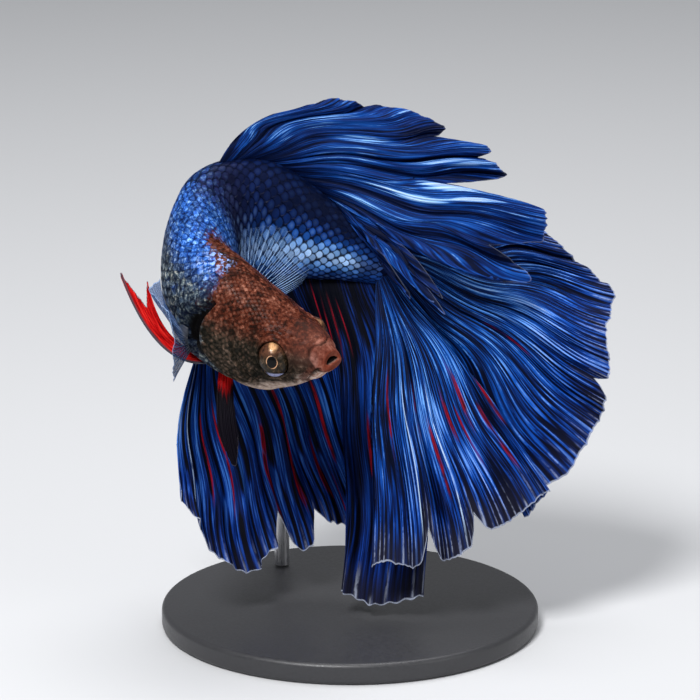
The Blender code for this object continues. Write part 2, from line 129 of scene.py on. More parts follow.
CAUDAL_RAYS = (
    (2.6, (11.5, 4.0, 15.6), (21.4, 4.0, 14.8)),
    (2.2, (13.9, 3.5, 12.7), (25.7, 3.5, 10.7)),
    (1.8, (16.2, 2.0, 10.2), (30.3, 2.0, 6.9)),
    (1.4, (16.1, 0.5, 7.5), (29.4, 0.0, 2.9)),
    (0.9, (16.1, -0.5, 5.2), (29.7, -1.0, -1.7)),
    (0.5, (15.5, -1.0, 3.4), (29.2, 0.0, -6.3)),
    (0.0, (13.8, -1.0, 1.7), (26.2, 0.4, -12.1)),
    (-0.4, (12.0, -0.2, -1.0), (20.6, 1.8, -19.6)),
    (-0.8, (12.2, -2.4, 0.4), (22.4, -1.4, -16.0)),
    (-1.3, (10.3, -2.7, -2.3), (17.5, -2.2, -20.0)),
    (-1.8, (8.6, -3.0, -3.4), (12.0, -3.0, -23.5)),
    (-2.2, (6.3, -3.0, -4.0), (7.4, -3.5, -24.6)),
    (-2.6, (2.5, -2.8, -4.6), (2.5, -2.8, -24.3)),
)
CAUDAL_NOTCHES = ((0.378, 0.02, 0.06), (0.56, 0.04, 0.07), (0.79, 0.02, 0.08), (0.885, 0.025, 0.09))
ANAL_RAYS = (
    ((19.6, -90), (-20.9, -4.2, -8.6), (-19.3, -4.5, -15.9)),
    ((20.2, -90), (-20.2, -3.4, -10.3), (-17.3, -3.0, -20.0)),
    ((21.2, -90), (-17.6, 1.0, -11.5), (-14.9, 0.0, -23.9)),
    ((23.0, -90), (-14.7, 4.0, -11.6), (-10.8, 3.0, -25.6)),
    ((25.4, -90), (-12.3, 6.5, -9.4), (-8.5, 6.0, -22.7)),
    ((28.6, -90), (-9.1, 8.0, -8.2), (-5.2, 8.5, -23.4)),
    ((32.0, -90), (-5.9, 9.0, -7.1), (-1.8, 9.0, -20.2)),
    ((35.4, -90), (-2.9, 8.5, -5.9), (1.4, 7.5, -22.8)),
    ((39.0, -90), (0.2, 6.0, -4.7), (3.3, 5.0, -27.3)),
    ((42.6, -90), (0.7, 3.5, -8.0), (-1.2, 3.0, -27.8)),
    ((46.0, -90), (4.5, 2.2, -7.0), (2.9, 1.6, -29.2)),
    ((50.6, -90), (10.5, 2.4, -4.5), (8.6, 1.2, -28.4)),
)
ANAL_NOTCHES = ((0.40, 0.045, 0.16), (0.50, 0.03, 0.11))
# Painted highlights on the anal fin.
ANAL_HIGHLIGHTS = (
    (0.0, 0.6, 0.06, 0.5, 0.6), (0.1, 0.8, 0.03, 0.12, 0.35), (0.94, 0.4, 0.03, 0.3, 0.2),
)
# Painted shadows on the anal fin.
ANAL_SHADOWS = (
    (0.2, 0.45, 0.05, 0.25, 0.3), (0.3, 0.3, 0.1, 0.2, 0.2), (0.78, 0.5, 0.03, 0.4, 0.2),
    (0.84, 0.12, 0.08, 0.2, 0.6),
)
ANAL_RED = (
    (0.41, 0.0065, 0.5, 0.97), (0.49, 0.0055, 0.42, 0.88), (0.632, 0.0065, 0.42, 0.7),
    (0.56, 0.005, 0.68, 0.9), (0.255, 0.004, 0.35, 0.75), (0.18, 0.004, 0.42, 0.7),
    (0.598, 0.006, 0.8, 0.95), (0.9, 0.004, 0.5, 0.75), (0.8, 0.003, 0.06, 0.22),
    (0.822, 0.0025, 0.08, 0.26), (0.845, 0.003, 0.1, 0.24), (0.87, 0.0025, 0.1, 0.2),
)
ANAL_SEAMS = ((0.108, 0.003, 0.12, 0.9), (0.022, 0.002, 0.3, 0.95))
PECTORAL_RIGHT_RAYS = (
    ((16.8, -4), (-21.3, -7.4, 4.2), (-21.6, -5.0, 8.1)),
    ((16.9, -12), (-21.4, -7.8, 4.0), (-22.7, -6.5, 6.8)),
    ((17.1, -20), (-20.4, -9.6, 2.4), (-20.6, -11.0, 4.6)),
    ((17.2, -28), (-19.7, -10.4, 0.8), (-19.7, -12.0, 1.7)),
    ((17.3, -36), (-19.6, -10.2, -1.0), (-19.8, -11.4, -1.6)),
    ((17.4, -44), (-19.4, -9.4, -2.6), (-19.8, -8.8, -3.7)),
)
PECTORAL_LEFT_RAYS = (
    ((16.9, 150), (-12.6, -5.0, 9.8), (-12.4, -4.6, 13.8)),
    ((17.0, 160), (-10.9, -5.0, 9.9), (-9.6, -4.9, 14.1)),
    ((17.1, 170), (-9.0, -4.6, 9.4), (-6.6, -4.8, 13.4)),
    ((17.2, 180), (-8.0, -4.4, 8.4), (-4.8, -4.5, 12.0)),
    ((17.3, 190), (-7.4, -4.2, 7.2), (-3.6, -4.2, 10.0)),
    ((17.4, 200), (-7.6, -4.0, 5.8), (-5.6, -3.6, 7.5)),
)
PECTORAL_LEFT_NOTCHES = ((0.8, 0.6, 0.13),)
PELVIC_RIGHT_RAYS = (
    ((15.8, -66), (-21.8, -4.6, -2.8), (-26.2, -4.4, 8.8)),
    ((16.4, -70), (-21.7, -4.4, -2.0), (-25.6, -4.2, 7.8)),
    ((17.0, -74), (-21.6, -4.2, -1.1), (-23.9, -4.2, 6.6)),
    ((17.6, -78), (-21.5, -4.2, -0.2), (-23.1, -4.4, 7.9)),
)
PELVIC_RIGHT_NOTCHES = ((0.7, 0.3, 0.12),)
PELVIC_LEFT_NOTCHES = ((0.0, 0.6, 0.3), (1.0, 0.6, 0.36))
PELVIC_LEFT_RAYS = (
    ((15.6, -100), (-13.4, -7.4, -7.6), (-12.0, -5.6, -13.0)),
    ((16.2, -98), (-14.8, -7.4, -8.2), (-12.8, -5.4, -14.0)),
    ((16.8, -96), (-16.2, -7.2, -8.2), (-13.6, -5.2, -13.2)),
)


# ---- curves ----------------------------------------------------------------
def smooth(rows, t):
    """Catmull-Rom through evenly spaced rows, for t from 0 to 1."""
    rows = np.asarray(rows, float)
    t = np.clip(np.asarray(t, float), 0.0, 1.0) * (len(rows) - 1)
    i = np.minimum(t.astype(int), len(rows) - 2)
    f = (t - i).reshape(t.shape + (1,) * (rows.ndim - 1))
    before = rows[np.maximum(i - 1, 0)]
    after = rows[np.minimum(i + 2, len(rows) - 1)]
    a, b = rows[i], rows[i + 1]
    return 0.5 * (2 * a + (b - before) * f + (2 * before - 5 * a + 4 * b - after) * f**2
                  + (3 * a - before - 3 * b + after) * f**3)


def along(stations, rows, s):
    """Hermite curve through rows at uneven stations."""
    stations, rows = np.asarray(stations, float), np.asarray(rows, float)
    slopes = np.gradient(rows, stations, axis=0)
    s = np.asarray(s, float)
    i = np.clip(np.searchsorted(stations, s, side="right") - 1, 0, len(stations) - 2)
    h = stations[i + 1] - stations[i]
    f = np.clip((s - stations[i]) / h, 0.0, 1.0)
    if rows.ndim > 1:
        h, f = h[..., None], f[..., None]
    return ((2 * f**3 - 3 * f**2 + 1) * rows[i] + (f**3 - 2 * f**2 + f) * h * slopes[i]
            + (3 * f**2 - 2 * f**3) * rows[i + 1] + (f**3 - f**2) * h * slopes[i + 1])


def circle(count):
    """Angles of evenly spaced points round a whole turn."""
    return np.linspace(0.0, TURN, count, endpoint=False)


def unit(v):
    return v / np.maximum(np.linalg.norm(v, axis=-1, keepdims=True), 1e-12)


def ease(low, high, x):
    t = np.clip((x - low) / (high - low), 0.0, 1.0)
    return t * t * (3 - 2 * t)


def bell(x, width):
    return np.exp(-((x / width) ** 2))


def spine_frame(s):
    """(place, forward, back, right) of the spine at stations s, in mm."""
    stations, places = zip(*SPINE)
    step = 0.2
    ahead = along(stations, places, np.maximum(s - step, 0.0))
    forward = unit(ahead - along(stations, places, np.minimum(s + step, END)))
    back = along(*zip(*BACK), s)
    back = unit(back - forward * np.sum(back * forward, axis=-1, keepdims=True))
    return along(stations, places, s), forward, back, np.cross(forward, back)


def body_point(s, angle, out=0.0):
    """A point of the body at station s, angle from the right side up over the back, out mm outside it."""
    s, angle = np.broadcast_arrays(np.asarray(s, float), np.asarray(angle, float))
    place, _, back, right = spine_frame(s)
    up, side = np.sin(angle), np.cos(angle)
    height = np.where(up > 0, along(STATIONS, BACK_HEIGHT, s), along(STATIONS, BELLY_DEPTH, s)) + out
    width = along(STATIONS, HALF_WIDTH, s) + out
    return place + right * (width * side)[..., None] + back * (height * up)[..., None]


def lean(points):
    """From the fish's frame in mm to the part's frame in metres."""
    x, y, z = np.moveaxis(np.asarray(points, float), -1, 0)
    c, s = math.cos(LEAN), math.sin(LEAN)
    return np.stack([x, y * c - z * s, y * s + z * c + LIFT], axis=-1) * MM


# ---- mesh building ---------------------------------------------------------
def grid_faces(n, m, wrap=False):
    """Quads of an n by m grid; wrap joins the last column to the first."""
    i = np.arange(n - 1)[:, None]
    j = np.arange(m if wrap else m - 1)[None, :]
    k = (j + 1) % m
    return np.stack([i * m + j, i * m + k, (i + 1) * m + k, (i + 1) * m + j], axis=-1).reshape(-1, 4)


def add_object(name, data):
    """An object in the scene that holds the data."""
    obj = bpy.data.objects.new(name, data)
    bpy.context.scene.collection.objects.link(obj)
    return obj


def make_mesh(name, points, faces, material, attributes=None, uv=None, place=lean):
    """A piece from points in mm and faces, with named numbers on its points and a UV place on each corner."""
    data = bpy.data.meshes.new(name)
    data.from_pydata(place(points).reshape(-1, 3).tolist(), [], faces)
    for key, values in (attributes or {}).items():
        layer = data.attributes.new(key, "FLOAT", "POINT")
        layer.data.foreach_set("value", np.asarray(values, np.float32).ravel())
    if uv is not None:
        data.uv_layers.new(name="OFBake").data.foreach_set("uv", np.asarray(uv, np.float32).ravel())
    data.materials.append(material)
    data.shade_smooth()
    return add_object(name, data)


def place_piece(obj, slot, *nodes):
    """Puts a piece on the model's one body and in place of the CAD nodes; slot is not used."""
    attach(obj, "root")
    if nodes:
        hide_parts(*nodes)


# ---- the skin --------------------------------------------------------------
AROUND = 216  # points round each ring
INNER_RINGS = 30  # rings of the mouth and the lips' inner side, which get no relief
# Inside the mouth the skin is painted near-black as shade.
MOUTH_RINGS = 19  # rings that are dark inside the mouth
HEAD_START = 56  # the first ring behind the lips
HEAD_STEP, HEAD_END, BODY_RINGS = 0.09, 18.0, 150  # rings stand closer on the head than behind it
UNWRAP_LENGTH = 52.0  # mm of body along the whole map


def skin_rings():
    """Rings (station, half width, up, down, rise, droop, jut) from inside the mouth to the stem's end."""
    inner = smooth(SNOUT, np.linspace(0.0, 1.0, HEAD_START))
    s = np.concatenate([np.arange(1.25, HEAD_END, HEAD_STEP), np.linspace(HEAD_END, END, BODY_RINGS)])
    sizes = (HALF_WIDTH, BACK_HEIGHT, BELLY_DEPTH)
    wide, up, down = (along(STATIONS, rows, s) - SKIN_DEPTH for rows in sizes)
    taper = 1 - 0.75 * ease(48.6, 51.6, s)
    droop, jut = 0.06 * (1 - ease(1.2, 3.0, s)), 0.05 * (1 - ease(1.2, 2.5, s))
    outer = np.stack([s, wide * taper, up, down, np.zeros(s.shape), droop, jut], axis=1)
    end = [(END, 0.3, 2.3, 2.4, 0.0, 0.0, 0.0), (END, 0.05, 0.8, 0.8, 0.0, 0.0, 0.0)]
    return np.concatenate([inner, outer, np.array(end)])


def folded(angle):
    """Angle on either side as if on the right one: 90 degrees is the back and -90 the belly."""
    return np.arcsin(np.clip(np.sin(angle), -1.0, 1.0))


def girth_radius(s):
    """Mean radius of the body at stations s, in mm."""
    height = 0.5 * (along(STATIONS, BACK_HEIGHT, s) + along(STATIONS, BELLY_DEPTH, s))
    return 0.5 * (along(STATIONS, HALF_WIDTH, s) + height)


def spread_flat(s, fold):
    """Place on the skin laid flat, in mm: along the body, and round it from the flank."""
    return np.stack([s, fold * girth_radius(s)], axis=-1)


def distance_to(rows, flat):
    """Distance on the flat skin from a line of (station, folded degrees), the same on both sides."""
    s, degrees = smooth(rows, np.linspace(0.0, 1.0, 5 * len(rows))).T
    path = spread_flat(s, np.radians(degrees))
    best = np.full(flat.shape[:-1], 1e9)
    for a, b in zip(path[:-1], path[1:]):
        ab = b - a
        t = np.clip(np.sum((flat - a) * ab, axis=-1) / max(float(ab @ ab), 1e-9), 0.0, 1.0)
        best = np.minimum(best, np.linalg.norm(flat - a - t[..., None] * ab, axis=-1))
    return best


# The gill cover's rear edge as (degrees, station), and how wide the cleft behind it is as (degrees, mm).
GILL_EDGE = (
    (-90, 7.4), (-76, 8.5), (-63, 9.8), (-50, 11.2), (-33, 12.9), (-17, 14.2), (0, 14.7), (17, 14.6),
    (40, 13.6), (90, 13.0),
)
GILL_GAP = (
    (-90, 1.0), (-72, 2.4), (-57, 4.1), (-42, 4.3), (-25, 3.1), (-8, 2.5), (8, 1.9), (25, 1.2), (90, 1.0),
)


def gill_gap(angle):
    """How wide the cleft behind the gill cover is."""
    return along(*zip(*GILL_GAP), np.degrees(folded(angle)))


def nearest_eye(points):
    """Distance to the middle of the nearer eye."""
    return np.minimum(*[eye_distance(points, side)[0] for side in (1, -1)])


def gill_distance(s, angle):
    """How far behind the gill cover's rear edge a point is, along the body."""
    return s - along(*zip(*GILL_EDGE), np.degrees(folded(angle)))


def gill_opening(angle):
    """1 where the gill cover stands open and 0 over the back and the throat."""
    fold = np.degrees(folded(angle))
    return ease(-88, -74, fold) * (1 - ease(30, 48, fold))


def eye_axes(side):
    """(centre, pupil axis, up, across) of an eye."""
    place, forward, back, right = (v[0] for v in spine_frame(np.array([EYE_STATION])))
    axis = unit(0.8 * side * right + 0.46 * forward + 0.28 * back)
    up = unit(back - axis * float(back @ axis) + 0.22 * np.cross(axis, back))
    out = EYE_OUT if side > 0 else EYE_OUT + 0.25
    return place + right * side * out + back * EYE_RISE, axis, up, np.cross(axis, up)


def eye_distance(points, side):
    """(distance from the eye's middle, how far above it), both shortened along the eye's tall axis."""
    centre, _, up, _ = eye_axes(side)
    offset = points - centre
    height = np.sum(offset * up, axis=-1)
    offset = offset - (height * (1 - 1 / EYE_TALL))[..., None] * up
    return np.linalg.norm(offset, axis=-1), height / EYE_TALL


# Creases (below zero) and folds of the head: a line of (station, degrees), with its depth and width in mm.
HEAD_LINES = (
    (((0.5, -6), (0.8, -12), (1.15, -21)), -0.12, 0.12),
    (((1.1, -20), (1.65, -34), (2.4, -52), (3.3, -66)), -0.28, 0.13),
    (((1.2, 90), (1.3, 74), (1.85, 50), (1.95, 34), (1.85, 24)), -0.2, 0.13),
    (((2.3, -14), (3.05, -38), (3.6, -54)), -0.14, 0.16),
    (((0.7, 2), (1.3, -14), (2.0, -36), (2.7, -54)), 0.12, 0.16),
    (((2.7, -10), (3.5, -34), (4.1, -54)), 0.14, 0.3),
    (((1.5, 84), (1.55, 60), (1.5, 40), (1.25, 22)), 0.22, 0.3),
    (((1.95, 90), (2.1, 75), (2.6, 50)), 0.1, 0.3),
    (((11.3, 30), (11.0, 12), (10.9, -5), (10.6, -14), (10.0, -24), (9.4, -40), (8.2, -60)), -0.2, 0.18),
    (((11.75, 30), (11.45, 12), (11.35, -5), (11.05, -14), (10.45, -24), (9.85, -40), (8.7, -60)),
     0.16, 0.24),
    (((5.2, -70), (7.5, -76), (9.8, -78)), -0.12, 0.14),
    (((8.3, 30), (9.2, 16), (9.7, 2), (9.3, -14), (8.4, -28)), -0.14, 0.16),
    (((4.2, -30), (5.6, -44), (7.4, -46)), -0.1, 0.2),
)


def crease_depth(flat):
    """How far into the head's creases each place on the flat skin lies, 0 to 1, as the amount of shade
    painted into them.
    """
    painted_shade = np.zeros(flat.shape[:-1])
    for rows, depth, width in HEAD_LINES:
        if depth < 0:
            painted_shade = np.maximum(painted_shade, min(1.0, -4.0 * depth) * bell(distance_to(rows, flat), width))
    return painted_shade


def skin_relief(points, s, angle):
    """Outward relief of the skin in mm: eye rims, brows, nostrils, jaw folds, gill cover and its cleft."""
    flat = spread_flat(s, folded(angle))
    gill = gill_distance(s, angle)
    cover = ease(-2.6, -0.2, gill) * (1 - ease(-0.02, 0.1, gill))
    gap = gill_gap(angle)
    cleft = ease(-0.02, 0.14, gill) * (1 - ease(0.75 * gap, 1.2 * gap + 0.4, gill))
    relief = gill_opening(angle) * (0.26 * cover - 1.1 * cleft)
    for side in (1, -1):
        d, height = eye_distance(points, side)
        above = ease(-0.1, 0.9, height / np.maximum(d, 0.1))
        relief += 0.24 * bell(d - 1.94, 0.17) - 0.1 * bell(d - 2.38, 0.14) + 0.05 * bell(d - 2.7, 0.2)
        relief += 0.3 * above * bell(d - 2.2, 0.55)
        relief -= 1.5 * (1 - ease(1.58, 1.76, d))
    for rows, depth, width in HEAD_LINES:
        relief += depth * bell(distance_to(rows, flat), width)
    nostril = distance_to(((4.3, 50), (4.4, 50)), flat)
    relief += 0.08 * bell(nostril - 0.24, 0.1) - 0.3 * bell(nostril, 0.13)
    relief += 0.3 * ease(0.0, 0.5, -np.cos(angle)) * bell(distance_to(((2.3, 20), (3.1, 26)), flat), 0.5)
    relief -= 0.16 * bell(distance_to(((3.2, 52), (3.3, 52)), flat), 0.12)
    return relief


def wobble(points, size, seed):
    """Smooth uneven field in -1..1 from a few fixed waves."""
    rng = np.random.default_rng(seed)
    total = np.zeros(points.shape[:-1])
    for _ in range(7):
        direction = unit(rng.normal(size=3))
        total += np.sin(points @ direction * (TURN / size) * rng.uniform(0.6, 1.5) + rng.uniform(0, 6.3))
    return total / 3.5


def ring_normals(points):
    """Outward directions on a grid of closed rings."""
    around = np.roll(points, -1, axis=1) - np.roll(points, 1, axis=1)
    return unit(np.cross(around, np.gradient(points, axis=0)))


def build_skin_grid():
    """(points, normals, stations, angles) of the finished skin."""
    rings = skin_rings()
    angle = circle(AROUND)[None, :]
    s = np.repeat(rings[:, :1], AROUND, axis=1)
    place, forward, back, right = (v[:, None] for v in spine_frame(rings[:, 0]))
    up, side = np.sin(angle), np.cos(angle)
    height = np.where(up > 0, rings[:, 2:3], rings[:, 3:4]) * up + rings[:, 4:5] - rings[:, 5:6] * side**2
    points = place + right * (rings[:, 1:2] * side)[..., None] + back * height[..., None]
    points = points - forward * (rings[:, 6:7] * up)[..., None]
    angles = np.repeat(angle, len(rings), axis=0)
    relief = skin_relief(points, s, angles) + 0.03 * wobble(points, 3.0, 5)
    relief = relief * (np.arange(len(rings)) >= INNER_RINGS)[:, None]
    points = points + ring_normals(points) * relief[..., None]
    return points, ring_normals(points), s, angles


def sample_grid(grid, stations, s, angle):
    """Values of a skin grid at stations and angles of the outer skin, by linear interpolation."""
    rows = np.interp(s, stations, np.arange(len(stations))) + HEAD_START
    cols = (angle / TURN * AROUND) % AROUND
    i, j = np.minimum(rows.astype(int), grid.shape[0] - 2), cols.astype(int)
    fi, fj = (rows - i)[..., None], (cols - j)[..., None]
    k = (j + 1) % AROUND
    j = j % AROUND
    low = grid[i, j] * (1 - fj) + grid[i, k] * fj
    high = grid[i + 1, j] * (1 - fj) + grid[i + 1, k] * fj
    return low * (1 - fi) + high * fi


# ---- materials -------------------------------------------------------------
class Shader:
    """A material's node graph, built by small calls that take sockets or plain values."""

    def __init__(self, name, **settings):
        self.material = bpy.data.materials.new(name)
        self.material.use_nodes = True
        self.tree = self.material.node_tree
        self.surface = self.tree.nodes["Principled BSDF"]
        for key, value in settings.items():
            self.surface.inputs[key.replace("_", " ")].default_value = value

    def feed(self, socket, value):
        if isinstance(value, bpy.types.NodeSocket):
            self.tree.links.new(value, socket)
        elif hasattr(socket.default_value, "__len__"):
            value = tuple(value)
            socket.default_value = value if len(value) == len(socket.default_value) else (*value, 1.0)
        else:
            socket.default_value = value

    def node(self, kind, inputs=(), **settings):
        node = self.tree.nodes.new(kind)
        for key, value in settings.items():
            setattr(node, key, value)
        for key, value in dict(inputs).items():
            self.feed(node.inputs[key], value)
        return node

    def math(self, operation, a, b=0.0, c=0.0):
        return self.node("ShaderNodeMath", {0: a, 1: b, 2: c}, operation=operation).outputs[0]

    def times(self, first, *others):
        for other in others:
            first = self.math("MULTIPLY", first, other)
        return first

    def plus(self, base, value, amount=1.0):
        """base + amount x value"""
        return self.math("MULTIPLY_ADD", value, amount, base)

    def minus(self, a, b):
        return self.math("SUBTRACT", a, b)

    def sway(self, base, noise, amount):
        """The base moved up and down by a noise whose middle is 0.5."""
        return self.plus(base, self.minus(noise, 0.5), amount)

    def span(self, value, low, high, to_low=0.0, to_high=1.0):
        inputs = {"Value": value, "From Min": low, "From Max": high, "To Min": to_low, "To Max": to_high}
        return self.node("ShaderNodeMapRange", inputs, interpolation_type="SMOOTHSTEP").outputs[0]

    def mix(self, factor, a, b, blend="MIX"):
        node = self.node("ShaderNodeMix", data_type="RGBA", blend_type=blend)
        self.feed(node.inputs[0], factor)
        self.feed(node.inputs[6], a)
        self.feed(node.inputs[7], b)
        return node.outputs[2]

    def value(self, name):
        return self.node("ShaderNodeAttribute", attribute_name=name).outputs["Fac"]

    def values(self, names):
        return [self.value(name) for name in names.split()]

    def join(self, x, y, z=0.0):
        return self.node("ShaderNodeCombineXYZ", {0: x, 1: y, 2: z}).outputs[0]

    def stretch(self, vector, by):
        return self.node("ShaderNodeVectorMath", {0: vector, 1: by}, operation="MULTIPLY").outputs[0]

    def reach(self, x, y):
        """Distance of (x, y) from the origin."""
        return self.node("ShaderNodeVectorMath", {0: self.join(x, y)}, operation="LENGTH").outputs["Value"]

    def place(self):
        """The object's own coordinates in mm."""
        return self.stretch(self.node("ShaderNodeTexCoord").outputs["Object"], (1 / MM,) * 3)

    def noise(self, vector, scale, detail=3.0, roughness=0.6):
        inputs = {"Vector": vector, "Scale": scale, "Detail": detail, "Roughness": roughness}
        return self.node("ShaderNodeTexNoise", inputs).outputs[0]

    def ramp(self, factor, *stops):
        node = self.node("ShaderNodeValToRGB", {0: factor})
        ramp = node.color_ramp
        while len(ramp.elements) < len(stops):
            ramp.elements.new(1.0)
        for element, (position, colour) in zip(ramp.elements, stops):
            element.position = position
            element.color = (*colour, 1.0)
        return node.outputs[0]

    def bump(self, height, strength, distance=0.0001):
        node = self.node("ShaderNodeBump", {"Height": height, "Strength": strength, "Distance": distance})
        self.tree.links.new(node.outputs[0], self.surface.inputs["Normal"])

    def set(self, key, value):
        self.feed(self.surface.inputs[key], value)


# Colour stops of the markings, each (place on the ramp, colour).
CROWN = (
    (0.33, (0.012, 0.003, 0.001)), (0.46, (0.046, 0.008, 0.003)), (0.60, (0.105, 0.025, 0.012)),
    (0.76, (0.25, 0.10, 0.065)),
)
CHEEK = (
    (0.33, (0.004, 0.004, 0.002)), (0.46, (0.013, 0.011, 0.007)), (0.60, (0.038, 0.027, 0.018)),
    (0.76, (0.14, 0.095, 0.07)),
)
CHIN = ((0.32, (0.27, 0.18, 0.135)), (0.7, (0.66, 0.53, 0.45)))
LIPS = ((0.36, (0.060, 0.012, 0.007)), (0.50, (0.14, 0.038, 0.024)), (0.66, (0.30, 0.12, 0.085)))
FRONT = (
    (0.36, (0.003, 0.009, 0.055)), (0.46, (0.010, 0.055, 0.27)), (0.55, (0.028, 0.125, 0.45)),
    (0.66, (0.22, 0.39, 0.68)),
)
FLANK = (
    (0.40, (0.004, 0.006, 0.014)), (0.50, (0.030, 0.046, 0.07)), (0.58, (0.13, 0.16, 0.165)),
    (0.68, (0.46, 0.44, 0.40)),
)
# The rear trunk from belly to back: dark at the belly, palest in a band low on the flank, and darkest over
# the back, where it is painted shadow under the dorsal fin.
REAR = (
    (0.03, (0.003, 0.012, 0.07)), (0.14, (0.012, 0.065, 0.30)), (0.24, (0.09, 0.26, 0.66)),
    (0.36, (0.36, 0.54, 0.84)), (0.45, (0.17, 0.36, 0.72)), (0.55, (0.011, 0.085, 0.38)),
    (0.65, (0.002, 0.022, 0.14)), (0.78, (0.0006, 0.004, 0.026)),
)
EYE_OLIVE = ((0.38, (0.005, 0.004, 0.002)), (0.53, (0.024, 0.016, 0.008)), (0.7, (0.10, 0.060, 0.034)))
EYE_WARM = ((0.35, (0.016, 0.006, 0.004)), (0.6, (0.10, 0.040, 0.022)))
FIN_RED = ((0.32, (0.12, 0.001, 0.002)), (0.5, (0.52, 0.004, 0.005)), (0.72, (0.82, 0.04, 0.03)))


def head_colour(g, blotch, fleck):
    """Red-brown crown, olive cheeks, cream chin and orange lips, all mottled, with a painted highlight on the
    upper lip's pad.
    """
    s, fold = g.values("station fold")
    place = g.place()
    grain = g.noise(place, 2.3, 3.0, 0.6)
    mottle = g.sway(blotch, grain, 0.9)
    upper = g.span(g.sway(fold, blotch, 0.5), 0.12, 0.6)
    head = g.mix(upper, g.ramp(mottle, *CHEEK), g.ramp(mottle, *CROWN))
    snout = g.times(g.span(s, 6.0, 2.2), g.span(fold, -0.6, 0.3))
    head = g.mix(g.times(snout, 0.35), head, (0.13, 0.050, 0.038))
    low = g.sway(fold, blotch, 0.4)
    chin_reach = g.times(g.span(low, -0.62, -0.84), g.span(s, 14.5, 10.0))
    head = g.mix(chin_reach, head, g.ramp(grain, *CHIN))
    jaw = g.times(g.span(s, 4.0, 2.8), g.span(low, -0.35, -0.7))
    pink = g.mix(g.span(grain, 0.38, 0.6), (0.42, 0.22, 0.16), (0.66, 0.52, 0.44))
    head = g.mix(g.times(jaw, 0.9), head, pink)
    corner = g.minus(s, g.span(fold, -0.1, -0.8, 0.5, 2.4))
    behind = g.minus(s, g.span(fold, -0.1, -0.8, 2.0, 3.5))
    band = g.times(g.span(corner, -0.05, 0.2), g.span(behind, 0.2, -0.5), g.span(fold, 0.2, -0.2))
    dark_red = g.mix(g.span(grain, 0.4, 0.6), (0.030, 0.008, 0.005), (0.10, 0.032, 0.020))
    head = g.mix(g.times(band, 0.85), head, dark_red)
    lips = g.mix(g.span(s, 0.3, 0.0, 0.0, 0.6), g.ramp(blotch, *LIPS), (0.16, 0.032, 0.016))
    # Painted highlight: the upper lip's pad is paler pink on its upper side.
    pad = g.times(g.span(s, 0.5, 1.1), g.span(fold, 0.75, 0.45))
    lips = g.mix(g.times(pad, g.span(fleck, 0.3, 0.6, 0.1, 0.6)), lips, (0.40, 0.19, 0.15))
    reach = g.span(fold, -0.7, 0.5, 0.25, 1.8)
    lip_share = g.span(g.minus(s, g.plus(reach, fleck, 0.3)), 0.05, -0.35)
    return g.mix(lip_share, head, lips)


def body_colour(g):
    """Markings shared by the skin and the scales, with painted shadows: (colour, how blue the body is here,
    fine flecks).
    """
    place = g.place()
    blotch, fleck = g.noise(place, 0.62, 4.0, 0.68), g.noise(place, 1.9, 4.0, 0.75)
    s, fold, left = g.values("station fold left")
    # Painted shadow on the fish's left side where the body bends, from the front trunk's end into the rear
    # trunk.
    shade = g.times(left, g.span(s, 24.5, 27.0), g.span(s, 34.0, 29.0))
    # Over the back this ramp is painted shadow under the dorsal fin.
    rear = g.ramp(g.plus(0.5, g.sway(fold, blotch, 0.35), 0.5), *REAR)
    # Painted shadow in the body's bend, over the front of the rear trunk and strongest from the middle of the
    # side up.
    painted_shade = g.times(g.span(s, 41.0, 32.0, 0.0, 0.9), g.span(fold, -0.75, 0.1, 0.5, 1.0))
    rear = g.mix(painted_shade, rear, (0.001, 0.006, 0.042))
    rear = g.mix(g.span(s, 45.4, 48.2, 0.0, 0.92), rear, (0.003, 0.030, 0.17))
    rear = g.mix(g.times(shade, 0.8), rear, (0.004, 0.003, 0.014))
    flank = g.times(g.span(fold, 0.97, 0.6), g.minus(1.0, left), g.span(s, 27.0, 21.0))
    flank = g.times(flank, g.span(blotch, 0.28, 0.46, 0.55, 1.0))
    front = g.mix(flank, g.ramp(fleck, *FRONT), g.ramp(fleck, *FLANK))
    front = g.mix(g.times(shade, 0.75), front, (0.010, 0.005, 0.020))
    blue = g.mix(g.span(s, 26.0, 31.0), front, rear)
    edge = g.sway(g.minus(s, g.plus(14.7, left, 7.5)), blotch, 3.6)
    share = g.span(g.sway(edge, fleck, 2.6), -0.7, 0.9)
    spots = g.times(g.span(s, 14.2, 15.6), g.span(s, 19.0, 17.2), g.span(fold, 0.80, 0.92))
    spots = g.times(spots, g.span(left, 0.75, 0.45), g.span(g.noise(place, 2.8, 2.0, 0.5), 0.50, 0.58), 0.85)
    marked = g.mix(spots, g.mix(share, head_colour(g, blotch, fleck), blue), (0.24, 0.36, 0.72))
    return marked, share, fleck


def skin_material():
    g = Shader("skin_markings", Roughness=0.55, Specular_IOR_Level=0.05, Coat_Weight=0.02, Coat_Roughness=0.2)
    colour, _, fleck = body_colour(g)
    # Painted shade in the head's creases.
    shaded = g.mix(g.times(g.value("crease"), 0.85), colour, (0.022, 0.009, 0.006))
    # Painted shade inside the mouth and in the gill cleft, where the membrane is also dark of its own.
    dark = g.mix(g.value("hollow"), shaded, (0.002, 0.0015, 0.0015))
    # Painted shade in the socket round each eye.
    g.set("Base Color", g.mix(g.value("rim"), dark, (0.012, 0.008, 0.006)))
    pores = g.noise(g.place(), 8.0, 2.0, 0.5)
    g.bump(g.plus(pores, fleck, 0.6), 0.35, 0.00015)
    return g.material


